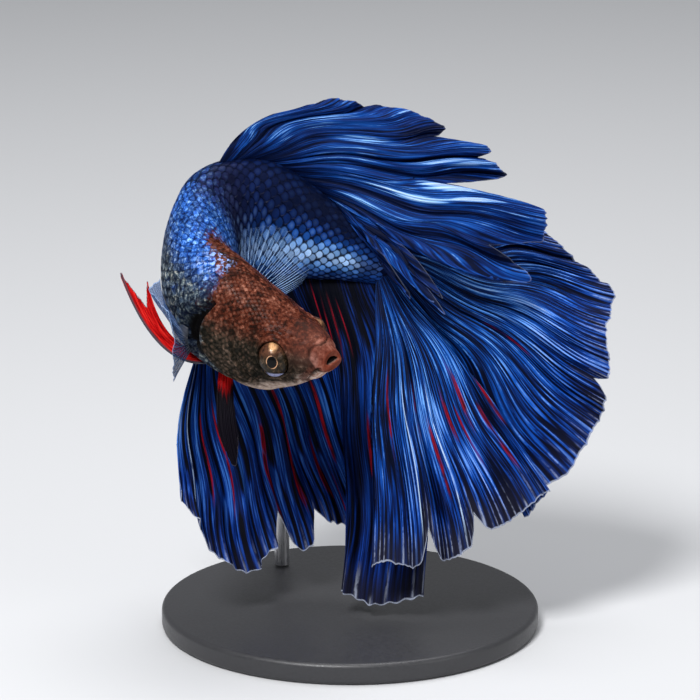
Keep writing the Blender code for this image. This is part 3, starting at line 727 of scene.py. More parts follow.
def scale_material():
    g = Shader("scale_markings", Specular_IOR_Level=0.06, Coat_Weight=0.03, Coat_Roughness=0.2)
    colour, share, _ = body_colour(g)
    s, tint, rim = g.values("station tint rim")
    apart = g.span(s, 5.4, 9.0)
    spread = g.times(g.span(share, 0.0, 1.0, 0.75, 0.9), apart)
    bright = g.plus(1.0, g.minus(tint, 0.42), spread)
    colour = g.mix(1.0, colour, g.join(bright, bright, bright), "MULTIPLY")
    heart = g.times(g.span(rim, 0.8, 0.1), g.span(tint, 0.1, 0.8, 0.0, 0.22), g.span(s, 49.0, 45.5), apart)
    heart = g.times(heart, g.span(g.times(share, g.value("fold")), 0.6, 0.0, 0.08, 1.0))
    colour = g.mix(heart, colour, g.mix(share, (0.26, 0.13, 0.09), (0.26, 0.46, 0.80)))
    # Dark border round each scale: partly its own dark outline and partly painted shade where the scale
    # before it overlaps it and on its sunk skirt.
    edge = g.times(g.span(rim, 0.62, 0.97), g.span(share, 0.0, 1.0, 0.42, 1.0), apart)
    edge = g.times(edge, g.span(s, 24.0, 31.0, 0.6, 0.96))
    g.set("Base Color", g.mix(edge, colour, g.mix(share, (0.010, 0.005, 0.003), (0.0008, 0.003, 0.017))))
    g.set("Roughness", g.span(rim, 0.3, 0.9, 0.38, 0.75))
    g.set("Metallic", g.times(share, 0.12))
    g.bump(g.noise(g.place(), 12.0, 2.0, 0.5), 0.25, 0.00006)
    return g.material


def inset(shares):
    """Places in the map from shares of its width and height, kept off its border."""
    return shares * 0.98 + 0.01


def unwrap(s, turn):
    """The skin's own unwrap: along the body and round it."""
    return inset(np.stack([s / UNWRAP_LENGTH, turn / TURN], axis=-1))


def body_marks(s, angle):
    """Where a point is, for the markings: its station, how far up the side, and 1 on the fish's left."""
    return {"station": s, "fold": np.sin(folded(angle)), "left": ease(-0.5, 0.5, -np.cos(angle))}


def build_skin():
    """Makes the skin, and returns its points, its normals and the stations of its outer rings."""
    points, normals, s, angle = build_skin_grid()
    gill, gap = gill_distance(s, angle), gill_gap(angle)
    # Shade painted into the gill cleft and inside the mouth; the membrane in the cleft is also dark of its
    # own.
    hollow = ease(0.0, 0.12, gill) * (1 - ease(0.9 * gap, gap + 0.5, gill)) * gill_opening(angle)
    ring = np.arange(len(points))[:, None] * np.ones((1, AROUND))
    hollow = np.maximum(hollow, np.clip((MOUTH_RINGS - ring) / 4.0, 0.0, 1.0))
    # Shade painted into the socket round each eye.
    rim = (1 - ease(1.72, 1.85, nearest_eye(points))) * (ring >= INNER_RINGS)
    # Shade to paint into the head's creases.
    crease = crease_depth(spread_flat(s, folded(angle)))
    faces = grid_faces(len(points), AROUND, wrap=True)
    seam = (faces % AROUND == 0) & np.any(faces % AROUND == AROUND - 1, axis=1)[:, None]
    turn = np.where(seam, TURN, angle.ravel()[faces])
    # The rings inside the mouth share stations with the snout, so each ring's number keeps them apart.
    station = np.clip(s.ravel()[faces], 0.0, END) * 0.9 + 0.1 * np.minimum(ring.ravel()[faces], 50.0)
    attributes = {**body_marks(s, angle), "hollow": hollow, "rim": rim, "crease": crease}
    places = unwrap(station, turn).reshape(-1, 2)
    skin = make_mesh("fish_skin", points, faces.tolist(), skin_material(), attributes, places)
    place_piece(skin, "body_skin", "head", "trunk_front", "trunk_middle", "trunk_rear", "tail_stem")
    return points, normals, s[HEAD_START:-2, 0]


# Scales by stretch of the body: piece, from and to station, spacing of the columns, count round the body, how
# far their rear edges stand out, how many times longer than the spacing they are, and the seed of their
# unevenness.
SCALE_STRETCHES = (
    ("scales_head", 5.4, 14.2, 0.40, 54, 0.03, 1.5, 11),
    ("scales_front", 15.2, 27.6, 0.54, 34, 0.06, 1.55, 12),
    ("scales_rear", 27.9, END, 0.66, 26, 0.075, 1.5, 13),
)
SCALE_ROWS = np.array([-0.75, -0.35, 0.0, 0.3, 0.55, 0.76, 0.92, 1.0])
SCALE_COLUMNS = np.linspace(-1.0, 1.0, 7)
SCALE_PATCH = 0.0015  # half the size of a scale's patch in the map
SCALE_SINK = 0.05  # how far a scale's root and border lie under the skin


def scale_roots(rng, start, end, pitch, count):
    """Stations and angles of the scales' middles in staggered columns."""
    roots = []
    for column, at in enumerate(np.arange(start, end, pitch)):
        for row in range(count):
            turn = (row + 0.5 * (column % 2) + rng.uniform(-0.09, 0.09)) / count * TURN
            roots.append((at + rng.uniform(-0.06, 0.06) * pitch / 0.6, turn))
    return np.array(roots).T


def clear_of_features(points, s, angle):
    """True where a scale stands clear of the eyes, the gill opening, the throat and the snout."""
    fold = np.degrees(folded(angle))
    gill = gill_distance(s, angle)
    slit = (gill > -0.35) & (gill < gill_gap(angle) + 0.1) & (fold > -88) & (fold < 42)
    throat = (s < 11.5) & (fold < -42)
    snout = (s < 7.6) & (fold < 38)
    return (nearest_eye(points) > 2.6) & ~slit & ~throat & ~snout


def shield_shape():
    """(x, y, half width) over one scale: x from its hidden root at -0.75 to its rear edge at 1, y across."""
    x, y = np.meshgrid(SCALE_ROWS, SCALE_COLUMNS, indexing="ij")
    half = np.where(x > 0.1, np.sqrt(np.maximum(1 - ((x - 0.1) / 0.98) ** 2, 0.03)), 1.0)
    return x, y, np.where(x < -0.2, 0.8, half)


def shield_border(n, m):
    """Rows and columns of a scale's border: down one side, along its rear edge and up the other."""
    down = [(i, 0) for i in range(n)] + [(n - 1, j) for j in range(1, m)]
    return np.array(down + [(i, m - 1) for i in range(n - 2, -1, -1)]).T


def shield_faces(n, m, bi, bj):
    """Faces of one scale: its top, and the skirt down to the border's sunk points, which follow the top's."""
    upper, lower = bi * m + bj, n * m + np.arange(len(bi))
    skirt = np.stack([upper[:-1], upper[1:], lower[1:], lower[:-1]], axis=1)
    return np.concatenate([grid_faces(n, m)[:, ::-1], skirt])


def build_scales(skin, stretch, material):
    """Overlapping scales as one mesh of thin shields, rooted in the skin and standing out at their rear."""
    points, normals, stations = skin
    name, start, end, pitch, count, lift, longer, seed = stretch
    rng = np.random.default_rng(seed)
    s, angle = scale_roots(rng, start, end, pitch, count)
    keep = clear_of_features(sample_grid(points, stations, s, angle), s, angle)
    s, angle = s[keep], angle[keep]
    x, y, half = shield_shape()
    at = s[:, None, None] + x * pitch * longer, angle[:, None, None] + y * half * 1.1 * math.pi / count
    ground, normal = sample_grid(points, stations, *at), unit(sample_grid(normals, stations, *at))
    tall = (lift * np.minimum(1.0, girth_radius(s) / 4.0) * ease(5.0, 9.0, s))[:, None, None]
    rise = ease(-0.7, 0.9, x) * (1 - 0.35 * y**2) * tall + 0.012 - SCALE_SINK * (x < -0.5)
    top = ground + normal * rise[..., None]
    bi, bj = shield_border(*x.shape)
    sunk = ground[:, bi, bj] - normal[:, bi, bj] * SCALE_SINK
    shields = np.concatenate([top.reshape(len(s), -1, 3), sunk], axis=1)
    per = shields.shape[1]
    faces = shield_faces(*x.shape, bi, bj) + (np.arange(len(s)) * per)[:, None, None]
    rim = np.minimum(np.hypot((x - 0.56) / 0.46, y * half / 0.85), 1.0).ravel()
    marks = {**body_marks(s, angle), "tint": rng.uniform(size=len(s))}
    attributes = {key: np.repeat(value, per) for key, value in marks.items()}
    attributes["rim"] = np.tile(np.append(rim, np.ones(len(bi))), len(s))
    patch = np.concatenate([np.stack([x, y], -1).reshape(-1, 2), np.stack([x[bi, bj], y[bi, bj]], -1) * 1.05])
    places = (unwrap(s, angle % TURN)[:, None] + patch * SCALE_PATCH).reshape(-1, 2)[faces.ravel()]
    faces = faces.reshape(-1, 4).tolist()
    scales = make_mesh(name, shields.reshape(-1, 3), faces, material, attributes, places)
    place_piece(scales, "body_skin")


# ---- eyes -------------------------------------------------------------------
EYE_RINGS, EYE_AROUND = 64, 80


def eye_material():
    g = Shader("eye_ball", Roughness=0.35, Specular_IOR_Level=0.08, Coat_Weight=0.18, Coat_Roughness=0.06)
    tilt, high, ahead = g.values("tilt high ahead")
    speckle = g.noise(g.join(g.times(high, 5.0), g.times(ahead, 5.0), tilt), 1.0, 4.0, 0.7)
    iris = g.mix(g.span(high, 0.1, 0.6), g.ramp(speckle, *EYE_OLIVE), g.ramp(speckle, *EYE_WARM))
    # Patch high on the iris: partly the iris's own colour and partly a painted highlight.
    off_gold = g.reach(g.minus(high, 0.80), g.minus(ahead, 0.20))
    gold_and_glint = g.times(g.span(off_gold, 0.40, 0.08), g.span(speckle, 0.34, 0.56, 0.45, 1.0), g.value("golden"))
    iris = g.mix(gold_and_glint, iris, (0.66, 0.36, 0.17))
    # Painted reflection: a pale lilac crescent low on the eyeball.
    low = g.span(g.plus(high, ahead, 0.25), -0.66, -0.76)
    low = g.times(low, g.span(g.math("ABSOLUTE", ahead), 0.62, 0.36))
    pale = g.times(low, g.span(speckle, 0.3, 0.5, 0.4, 1.0), 0.9)
    iris = g.mix(pale, iris, (0.36, 0.38, 0.60))
    # The copper ring round the pupil shows in broken arcs, strongest where the slant is large.
    slant = g.math("ABSOLUTE", g.minus(ahead, high))
    ring_arcs = g.span(g.plus(slant, speckle, 0.8), 0.55, 0.85, 0.12, 1.0)
    ring = g.times(g.span(tilt, 0.33, 0.35), g.span(tilt, 0.40, 0.375), ring_arcs)
    iris = g.mix(ring, iris, (0.55, 0.30, 0.17))
    g.set("Base Color", g.mix(g.span(tilt, 0.36, 0.33), iris, (0.001, 0.001, 0.0015)))
    return g.material


def build_eye(side, material):
    """An eyeball turned round its pupil axis, taller than wide, with the pupil's disc set slightly back."""
    centre, axis, up, across = eye_axes(side)
    tilt, turn = np.meshgrid(np.linspace(0.0, math.pi, EYE_RINGS), circle(EYE_AROUND), indexing="ij")
    radius = EYE_RADIUS * (1 - 0.03 * (1 - ease(0.32, 0.42, tilt))) + 0.02 * bell(tilt - 0.45, 0.06)
    high, wide = np.cos(turn) * np.sin(tilt), np.sin(turn) * np.sin(tilt)
    direction = np.cos(tilt)[..., None] * axis + high[..., None] * EYE_TALL * up + wide[..., None] * across
    points = centre + direction * radius[..., None]
    # The left eye's patch and its painted highlight are fainter.
    golden = np.full(tilt.shape, 1.0 if side > 0 else 0.3)
    attributes = {"tilt": tilt, "high": high, "ahead": -side * wide, "golden": golden}
    hand = "right" if side > 0 else "left"
    faces = grid_faces(*tilt.shape, wrap=True).tolist()
    place_piece(make_mesh("eye_ball_" + hand, points, faces, material, attributes), "eye", "eye_" + hand)


# ---- fins -------------------------------------------------------------------
def fin_roots(rays, u, out):
    """Where the fin's rays leave the body, out mm outside it."""
    roots = smooth([np.atleast_1d(ray[0]) for ray in rays], u)
    if roots.shape[-1] == 2:
        return body_point(roots[..., 0], np.radians(roots[..., 1]), out)
    place, forward, back, _ = spine_frame(np.full(u.shape, END))
    bulge = np.cos(roots / 2.6 * 1.2)
    return place + back * roots - forward * (out + 0.6 * bulge)


def comb(u, count):
    """1 on each of count rays and 0 half way between."""
    return 0.5 + 0.5 * np.cos(TURN * count * u)


def branching(u, v, count, steps):
    """Rays that fork on the way out, doubling their number at each of the steps."""
    ridge = comb(u, count)
    for k, at in enumerate(steps):
        share = ease(at - 0.1, at + 0.1, v)
        ridge = ridge * (1 - share) + comb(u, count * 2 ** (k + 1)) * share
    return ridge


def drift(u, rng, size):
    """A slow uneven curve over the fin's width, about -1 to 1."""
    total = np.zeros_like(u)
    for _ in range(4):
        total = total + np.sin(TURN * (u * size * rng.uniform(0.5, 1.6) + rng.uniform(0, 1)))
    return total / 2.5


def pleat(phase):
    """A fold with a broad round crest and a narrow valley, -1 to 1."""
    return 2 * np.abs(np.sin(math.pi * phase)) ** 0.8 - 1


# What sets one fin apart from another, in mm. "count" rays fork at the "steps", and "folds" pleats of the
# "height" sway sideways by "sway". "ridge" is the rays' relief, "ragged", "teeth" and "ruffle" shape the
# margin, "uneven" spaces the rays, and "sink" is how far the roots stand off the body.
FIN = {
    "notches": (), "columns": 400, "rows": 60, "count": 13, "steps": (0.25, 0.5), "folds": 0, "height": 0.5,
    "sway": 0.0, "ridge": 0.06, "ragged": 0.3, "teeth": 0.2, "ruffle": 0.12, "uneven": 0.34, "sink": -0.6,
    "thickness": 0.09, "seed": 1,
}
MARGIN_CROWDING = 1.45  # above 1, the rows of a fin's grid stand closer towards its margin


def tip_count(fin):
    """How many ray tips the fin's margin has."""
    return fin["count"] * 2 ** len(fin["steps"])


def fin_reach(fin, length, rng):
    """How far each ray reaches, with the fin's notches and a ragged margin of separate ray tips."""
    u = np.linspace(0.0, 1.0, fin["columns"])
    reach = np.ones(u.shape)
    for at, half, depth in fin["notches"]:
        reach -= depth * np.clip(1 - np.abs(u - at) / half, 0.0, 1.0) ** 1.4
    tips = tip_count(fin)
    uneven = np.interp(u * tips, np.arange(tips + 1), rng.uniform(-1, 1, tips + 1))
    slow = np.interp(u * tips / 4, np.arange(tips // 4 + 2), rng.uniform(-1, 1, tips // 4 + 2))
    return reach + fin["ragged"] * (fin["teeth"] * (comb(u, tips) - 0.5) + 0.6 * uneven + 1.1 * slow) / length


def fin_sheet(fin, rays, u, v, rng):
    """(points, length of each ray) of the fin before it is pleated."""
    swayed = u + fin["sway"] * v * (1.1 - v) * 4 * drift(0.35 * u + 0.55 * v, rng, 2.4)
    swayed = np.clip(swayed, 0.0, 1.0)
    root = fin_roots(rays, swayed, fin["sink"])
    bend, tip = (smooth([ray[k] for ray in rays], swayed) for k in (1, 2))
    length = np.linalg.norm(bend[:, -1] - root[:, 0], axis=-1)
    length = length + np.linalg.norm(tip[:, -1] - bend[:, -1], axis=-1)
    reach = fin_reach(fin, length, rng)
    t = (v * reach[:, None])[..., None]
    return (1 - t) ** 2 * root + 2 * t * (1 - t) * bend + t**2 * tip, length * reach


def fin_relief(fin, u, v, rng):
    """(height off the sheet in mm, crests of the pleats, ribs of the rays)."""
    phase = fin["folds"] * u + 0.45 * drift(u, rng, 3.0) + 0.25 * v * drift(u, rng, 2.0)
    crest = pleat(phase) if fin["folds"] else np.zeros(u.shape)
    size = 1 + 0.45 * drift(u, rng, 2.2)
    small = np.sin(TURN * (2.6 * phase + 0.2 * v))
    wave = fin["height"] * (size * crest * v**1.15 + 0.22 * small * v)
    turns = TURN * tip_count(fin) * u
    ruffle = np.sin(0.11 * turns + 2.0 * np.sin(17 * u)) + 0.4 * np.sin(0.29 * turns)
    wave = wave + fin["ruffle"] * ease(0.8, 1.0, v) * ruffle
    spaced = u + fin["uneven"] / tip_count(fin) * drift(u, rng, tip_count(fin) / 6)
    rib = branching(spaced, v, fin["count"], fin["steps"])
    return wave + fin["ridge"] * (rib - 0.5) * ease(0.0, 0.08, v), crest, rib


def build_fin(name, node, slot, material, rays, **changes):
    """A fin as a pleated sheet through its guide rays, with forking rays and a ragged margin."""
    fin = {**FIN, **changes}
    rng = np.random.default_rng(fin["seed"])
    out = 1 - (1 - np.linspace(0.0, 1.0, fin["rows"])) ** MARGIN_CROWDING
    u, v = np.meshgrid(np.linspace(0.0, 1.0, fin["columns"]), out, indexing="ij")
    points, length = fin_sheet(fin, rays, u, v, rng)
    wave, crest, rib = fin_relief(fin, u, v, rng)
    normal = unit(np.cross(np.gradient(points, axis=0), np.gradient(points, axis=1)))
    points = points + normal * wave[..., None]
    # The crest value also sets where the blue fins paint light on the tops of the pleats and shade in their
    # valleys.
    attributes = {"ray": u, "out": v, "rib": rib, "crest": crest * ease(0.0, 0.3, v),
                  "margin": (1 - v) * length[:, None]}
    faces = grid_faces(*u.shape)
    places = inset(np.stack([u, v], axis=-1).reshape(-1, 2)[faces.ravel()])
    sheet = make_mesh(name, points, faces.tolist(), material, attributes, places)
    solid = sheet.modifiers.new("thickness", "SOLIDIFY")
    solid.thickness = fin["thickness"] * MM
    solid.offset = 0.0
    place_piece(sheet, slot, node)


def along_rays(g, across, outward, seed, detail=3.0):
    """Noise drawn out along the rays."""
    ray, out = g.values("ray out")
    return g.noise(g.join(g.times(ray, across), g.times(out, outward), seed), 1.0, detail, 0.62)


def patch_share(g, patches, streaks):
    """Strength of soft oval patches with streaked edges."""
    ray, out = g.values("ray out")
    total = 0.0
    for at_ray, at_out, wide, tall, strength in patches:
        across = g.math("DIVIDE", g.minus(ray, at_ray), wide)
        outward = g.math("DIVIDE", g.minus(out, at_out), tall)
        away = g.sway(g.reach(across, outward), streaks, 2.2)
        total = g.math("MAXIMUM", total, g.span(away, 1.15, 0.15, 0.0, strength))
    return total


def band_share(g, bands, streaks):
    """Where narrow broken bands run along the rays."""
    ray, out = g.values("ray out")
    wander = g.sway(ray, along_rays(g, 3.0, 2.2, 6.1, 1.0), 0.03)
    ends = g.sway(out, streaks, 0.3)
    total = 0.0
    for at_ray, half, start, end in bands:
        off = g.math("ABSOLUTE", g.minus(wander, at_ray))
        band = g.times(g.span(ends, start - 0.05, start + 0.05), g.span(ends, end + 0.05, end - 0.05))
        total = g.math("MAXIMUM", total, g.times(band, g.span(off, half, 0.55 * half)))
    broken = g.span(along_rays(g, 14.0, 7.0, 4.4, 2.0), 0.36, 0.48, 0.1, 1.0)
    return g.times(total, broken)


# How one blue fin's markings differ from another's: its base lightness, how strongly the rays' bands, the
# painted light on the tops of the pleats and painted shade in their valleys, the thin lines, the dark grooves
# and the broad streaks show, its painted highlights, painted shadows and red marks, the pale seams of its
# curls, how many fine hair lines it has and how strong they are, how smoky its fringe is, how pale its margin
# is and how violet it turns outwards.
BLUE_FIN = {
    "base": 0.4, "bands": 0.0, "crests": 0.2, "lines": 0.3, "grooves": 0.25, "broad": 1.3, "bright": (),
    "dark": (), "red": (), "seams": (), "hair_count": 150.0, "hair": 0.25, "smoke": 0.0, "pale": 0.8,
    "violet": 0.3,
}
# Colours of the blue fins, from the darkest membrane to the palest rays.
COBALT = ((0.0005, 0.003, 0.020), (0.0018, 0.020, 0.13), (0.006, 0.070, 0.32), (0.19, 0.40, 0.74))
AZURE = ((0.0004, 0.002, 0.012), (0.0014, 0.019, 0.12), (0.005, 0.076, 0.37), (0.115, 0.32, 0.76))
NAVY = ((0.0003, 0.0008, 0.004), (0.0010, 0.009, 0.065), (0.003, 0.036, 0.23), (0.04, 0.16, 0.52))


def blue_level(g, fin, fine, streaks, line):
    """How light the fin is, from its rays, hair lines, painted light and shade on its pleats, painted shade
    near its roots, and painted highlight and shadow patches.
    """
    rib = g.value("rib")
    groove = g.times(g.math("POWER", g.minus(1.0, rib), 4.0), g.span(streaks, 0.35, 0.6, 1.3, 0.4))
    hair = g.span(along_rays(g, fin["hair_count"], 3.5, 8.0, 1.0), 0.42, 0.62, -0.4, 1.0)
    bands = g.span(g.value("ray"), 0.68, 0.76, fin["bands"], 0.25 * fin["bands"])
    level = g.sway(g.sway(fin["base"], fine, 0.8), along_rays(g, 17.0, 1.8, 3.1), fin["broad"])
    parts = (
        # Painted light on the tops of the pleats and painted shade in their valleys.
        (g.span(rib, 0.04, 0.34, -0.6, 0.35), bands), (g.value("crest"), fin["crests"]), (line, fin["lines"]),
        # Towards the roots the fin is painted darker as shade.
        (groove, -fin["grooves"]), (hair, fin["hair"]), (g.span(g.value("out"), 0.05, 0.4, -0.22, 0.0), 1.0),
        # Painted highlight and painted shadow patches.
        (patch_share(g, fin["bright"], streaks), 1.0), (patch_share(g, fin["dark"], streaks), -1.0),
    )
    for value, amount in parts:
        level = g.plus(level, value, amount)
    return level


def blue_fin_material(name, colours, **changes):
    """Blue fin: dark membrane between lighter rays, streaks, marks of its own, painted highlights and
    shadows, and a thin pale margin.
    """
    fin = {**BLUE_FIN, **changes}
    g = Shader(name, Roughness=0.55, Specular_IOR_Level=0.06)
    ray, margin = g.values("ray margin")
    fine, streaks = along_rays(g, 190.0, 7.0, 0.0), along_rays(g, 60.0, 3.0, 9.4, 2.0)
    broken = g.span(along_rays(g, 40.0, 6.0, 5.0, 2.0), 0.38, 0.62, 0.1, 1.0)
    grainy = g.span(along_rays(g, 260.0, 60.0, 2.0, 1.0), 0.35, 0.55, 0.5, 1.0)
    line = g.times(g.math("POWER", g.value("rib"), 7.0), broken, grainy)
    level = blue_level(g, fin, fine, streaks, line)
    colour = g.ramp(level, *zip((0.06, 0.40, 0.72, 1.0), colours))
    # Painted highlight: the lightest places turn whitish.
    colour = g.mix(g.span(level, 1.0, 1.5, 0.0, 0.55), colour, (0.50, 0.61, 0.76))
    violet = g.span(g.value("out"), 0.45, 1.0, 0.0, fin["violet"])
    colour = g.mix(violet, colour, (1.4, 0.78, 1.2), "MULTIPLY")
    if fin["red"]:
        red = g.mix(g.span(fine, 0.4, 0.6), (0.24, 0.003, 0.012), (0.05, 0.001, 0.006))
        colour = g.mix(band_share(g, fin["red"], streaks), colour, red)
    if fin["seams"]:
        colour = g.mix(g.times(band_share(g, fin["seams"], streaks), 0.8), colour, (0.46, 0.62, 0.88))
    fringe = g.times(g.span(margin, 4.5, 0.8), fin["smoke"], g.span(ray, 0.66, 0.8, 0.4, 1.0))
    smoky = g.mix(g.span(line, 0.1, 0.6), (0.010, 0.010, 0.020), (0.20, 0.22, 0.28))
    colour = g.mix(fringe, colour, smoky)
    tips = g.times(g.span(margin, 1.6, 0.2), line, 0.6)
    edge = g.math("MAXIMUM", g.span(g.sway(margin, streaks, 0.3), 0.2, 0.05), tips)
    g.set("Base Color", g.mix(g.times(edge, fin["pale"]), colour, (0.42, 0.46, 0.58)))
    g.set("Metallic", g.span(level, 0.5, 1.0, 0.0, 0.2))
    g.bump(g.plus(fine, line), 0.5, 0.00012)
    return g.material


def red_fin_material(name, dark_edge, darkens, trim):
    """Bright red with darker streaks, a dark leading edge, a black outer part and a thin trim."""
    g = Shader(name, Roughness=0.5, Specular_IOR_Level=0.05)
    ray, out, margin = g.values("ray out margin")
    fine = along_rays(g, 18.0, 4.0, 0.0)
    colour = g.ramp(fine, *FIN_RED)
    lead = g.span(g.plus(ray, out, 0.1), dark_edge + 0.07, dark_edge - 0.07)
    colour = g.mix(lead, colour, (0.05, 0.05, 0.065))
    fade = g.span(g.sway(out, fine, 0.5), darkens, darkens + 0.16)
    colour = g.mix(fade, colour, (0.004, 0.003, 0.006))
    g.set("Base Color", g.mix(g.span(margin, 0.14, 0.05), colour, trim))
    g.bump(fine, 0.5, 0.0001)
    return g.material


def pale_fin_material(name, veil, line_colour, see_through, fade, rim):
    """A see-through membrane on fine pale rays, which thin out over the last fade mm towards the margin."""
    g = Shader(name, Roughness=0.45, Specular_IOR_Level=0.2)
    out, rib, margin = g.values("out rib margin")
    line = g.math("POWER", rib, 4.5)
    fine = along_rays(g, 70.0, 5.0, 0.0)
    colour = g.mix(g.span(line, 0.25, 0.8), veil, line_colour)
    colour = g.mix(g.times(g.span(fine, 0.5, 0.75), 0.35), colour, line_colour)
    root = g.mix(g.span(line, 0.2, 0.7), (0.04, 0.05, 0.075), (0.38, 0.38, 0.42))
    colour = g.mix(g.span(out, 0.26, 0.06), colour, root)
    g.set("Base Color", g.mix(g.span(margin, 0.22, 0.08, 0.0, rim), colour, (0.34, 0.48, 0.76)))
    solid = g.times(g.span(line, 0.1, 0.8), g.span(fine, 0.35, 0.6, 0.45, 1.0))
    solid = g.times(solid, g.span(margin, 0.1, fade, 0.5 * rim, 1.0))
    solid = g.times(solid, g.span(g.value("ray"), 0.05, 0.75, 0.25, 1.0))
    veiled = g.plus(see_through, solid, 1.0 - see_through)
    g.set("Alpha", g.math("MAXIMUM", veiled, g.span(out, 0.3, 0.1)))
    g.bump(line, 0.5, 0.0001)
    return g.material


def build_fins():
    """All seven fins, each with its own look and its own unevenness."""
    dorsal = blue_fin_material(
        "dorsal_blue", COBALT, base=0.23, crests=0.22, lines=0.28, grooves=0.3, broad=1.5, hair_count=210.0,
        hair=0.3, pale=0.15, violet=0.1, bright=DORSAL_HIGHLIGHTS, dark=DORSAL_SHADOWS)
    build_fin("dorsal_sail", "dorsal_fin", "fin_blue", dorsal, DORSAL_RAYS, notches=DORSAL_NOTCHES,
              columns=760, rows=84, count=12, steps=(0.2, 0.42, 0.68), folds=8, height=0.75, sway=0.03,
              ridge=0.045, seed=3)
    caudal = blue_fin_material(
        "caudal_blue", AZURE, base=0.29, crests=0.12, lines=0.5, grooves=0.4, broad=1.2, hair_count=270.0,
        hair=0.45, smoke=0.85, pale=0.65, violet=0.4, bright=CAUDAL_HIGHLIGHTS, dark=CAUDAL_SHADOWS,
        red=CAUDAL_RED, seams=CAUDAL_SEAMS)
    build_fin("caudal_fan", "caudal_fin", "fin_blue", caudal, CAUDAL_RAYS, notches=CAUDAL_NOTCHES,
              columns=900, rows=88, count=13, steps=(0.12, 0.3, 0.6), folds=13, height=0.55, sway=0.018,
              ridge=0.05, sink=-1.3, seed=4)
    anal = blue_fin_material(
        "anal_blue", NAVY, base=0.27, bands=0.75, crests=0.1, lines=0.1, grooves=0.1, broad=0.8,
        hair_count=190.0, hair=0.3, smoke=0.85, bright=ANAL_HIGHLIGHTS, dark=ANAL_SHADOWS, red=ANAL_RED,
        seams=ANAL_SEAMS)
    build_fin("anal_curtain", "anal_fin", "fin_blue", anal, ANAL_RAYS, notches=ANAL_NOTCHES,
              columns=820, rows=84, count=20, steps=(0.74,), folds=11, height=0.5, sway=0.016, ridge=0.05,
              teeth=0.7, uneven=0.5, seed=5)
    veil = {"columns": 280, "rows": 36, "count": 15, "steps": (0.38,), "folds": 4, "height": 0.12,
            "ridge": 0.04, "ragged": 0.15, "ruffle": 0.04, "thickness": 0.05}
    slate = pale_fin_material("pectoral_slate", (0.030, 0.075, 0.20), (0.16, 0.26, 0.46), 0.6, 1.2, 0.8)
    build_fin("pectoral_right_veil", "pectoral_fin_right", "fin_pectoral", slate, PECTORAL_RIGHT_RAYS,
              seed=6, **veil)
    clear = pale_fin_material("pectoral_veil", (0.020, 0.10, 0.36), (0.36, 0.55, 0.86), 0.04, 3.2, 0.15)
    build_fin("pectoral_left_veil", "pectoral_fin_left", "fin_pectoral", clear, PECTORAL_LEFT_RAYS,
              notches=PECTORAL_LEFT_NOTCHES, seed=7, **veil)
    blade = {"rows": 60, "ridge": 0.07, "ragged": 0.25, "ruffle": 0.05, "thickness": 0.14, "steps": (0.4,)}
    red = red_fin_material("pelvic_red", 0.2, 1.2, (0.24, 0.19, 0.21))
    build_fin("pelvic_right_blade", "pelvic_fin_right", "fin_red", red, PELVIC_RIGHT_RAYS,
              notches=PELVIC_RIGHT_NOTCHES, columns=60, count=5, seed=8, **blade)
    dark = red_fin_material("pelvic_dark", -0.2, 0.22, (0.05, 0.045, 0.055))
    build_fin("pelvic_left_blade", "pelvic_fin_left", "fin_red", dark, PELVIC_LEFT_RAYS,
              notches=PELVIC_LEFT_NOTCHES, columns=50, count=4, seed=9, **blade)


# ---- stand ------------------------------------------------------------------
# The stand's sizes in mm: the rod meets the flank at a station, stands off it and ends at a depth inside it.
BASE_RADIUS, BASE_HEIGHT, BASE_BEVEL, BASE_AROUND = 22.0, 2.5, 0.6, 192
ROD_RADIUS, ROD_STATION, ROD_STAND_OFF, ROD_DEPTH, ROD_AROUND = 0.9, 37.0, 3.6, 1.6, 48
STAND_GAP = 0.25
SHARP = math.radians(50)  # edges of the stand sharper than this stay sharp


def upright(points):
    """From the stand's mm to metres."""
    return np.asarray(points, float) * MM


def satin_material():
    g = Shader("stand_satin", Roughness=0.45)
    grain = g.noise(g.place(), 3.0, 4.0, 0.6)
    g.set("Base Color", g.mix(grain, (0.020, 0.020, 0.022), (0.045, 0.045, 0.05)))
    g.set("Roughness", g.span(grain, 0.3, 0.7, 0.36, 0.5))
    g.bump(g.noise(g.place(), 12.0, 2.0, 0.5), 0.12, 0.00005)
    return g.material


def steel_material():
    g = Shader("rod_brushed", Roughness=0.3, Metallic=1.0)
    brushed = g.noise(g.stretch(g.place(), (9.0, 9.0, 0.4)), 1.0, 3.0, 0.6)
    g.set("Base Color", g.mix(brushed, (0.42, 0.42, 0.44), (0.62, 0.62, 0.64)))
    g.set("Roughness", g.span(brushed, 0.3, 0.7, 0.24, 0.4))
    return g.material


def build_base():
    """The round base, turned from its section with rounded edges."""
    inner = BASE_RADIUS - BASE_BEVEL
    section = [(0.01, 0.0), (inner, 0.0)]
    for start, level in ((-math.pi / 2, BASE_BEVEL), (0.0, BASE_HEIGHT - BASE_BEVEL)):
        for a in np.linspace(start, start + math.pi / 2, 9):
            section.append((inner + BASE_BEVEL * math.cos(a), level + BASE_BEVEL * math.sin(a)))
    section += [(inner, BASE_HEIGHT), (0.01, BASE_HEIGHT)]
    reach, high = np.array(section).T[:, :, None]
    turn = circle(BASE_AROUND)[None, :]
    points = np.stack([reach * np.cos(turn), reach * np.sin(turn), high + 0 * turn], axis=-1)
    faces = grid_faces(len(section), BASE_AROUND, wrap=True)[:, ::-1]
    base = make_mesh("base_disc", points, faces.tolist(), satin_material(), place=upright)
    base.data.set_sharp_from_angle(angle=SHARP)
    place_piece(base, "stand_base", "stand_base")


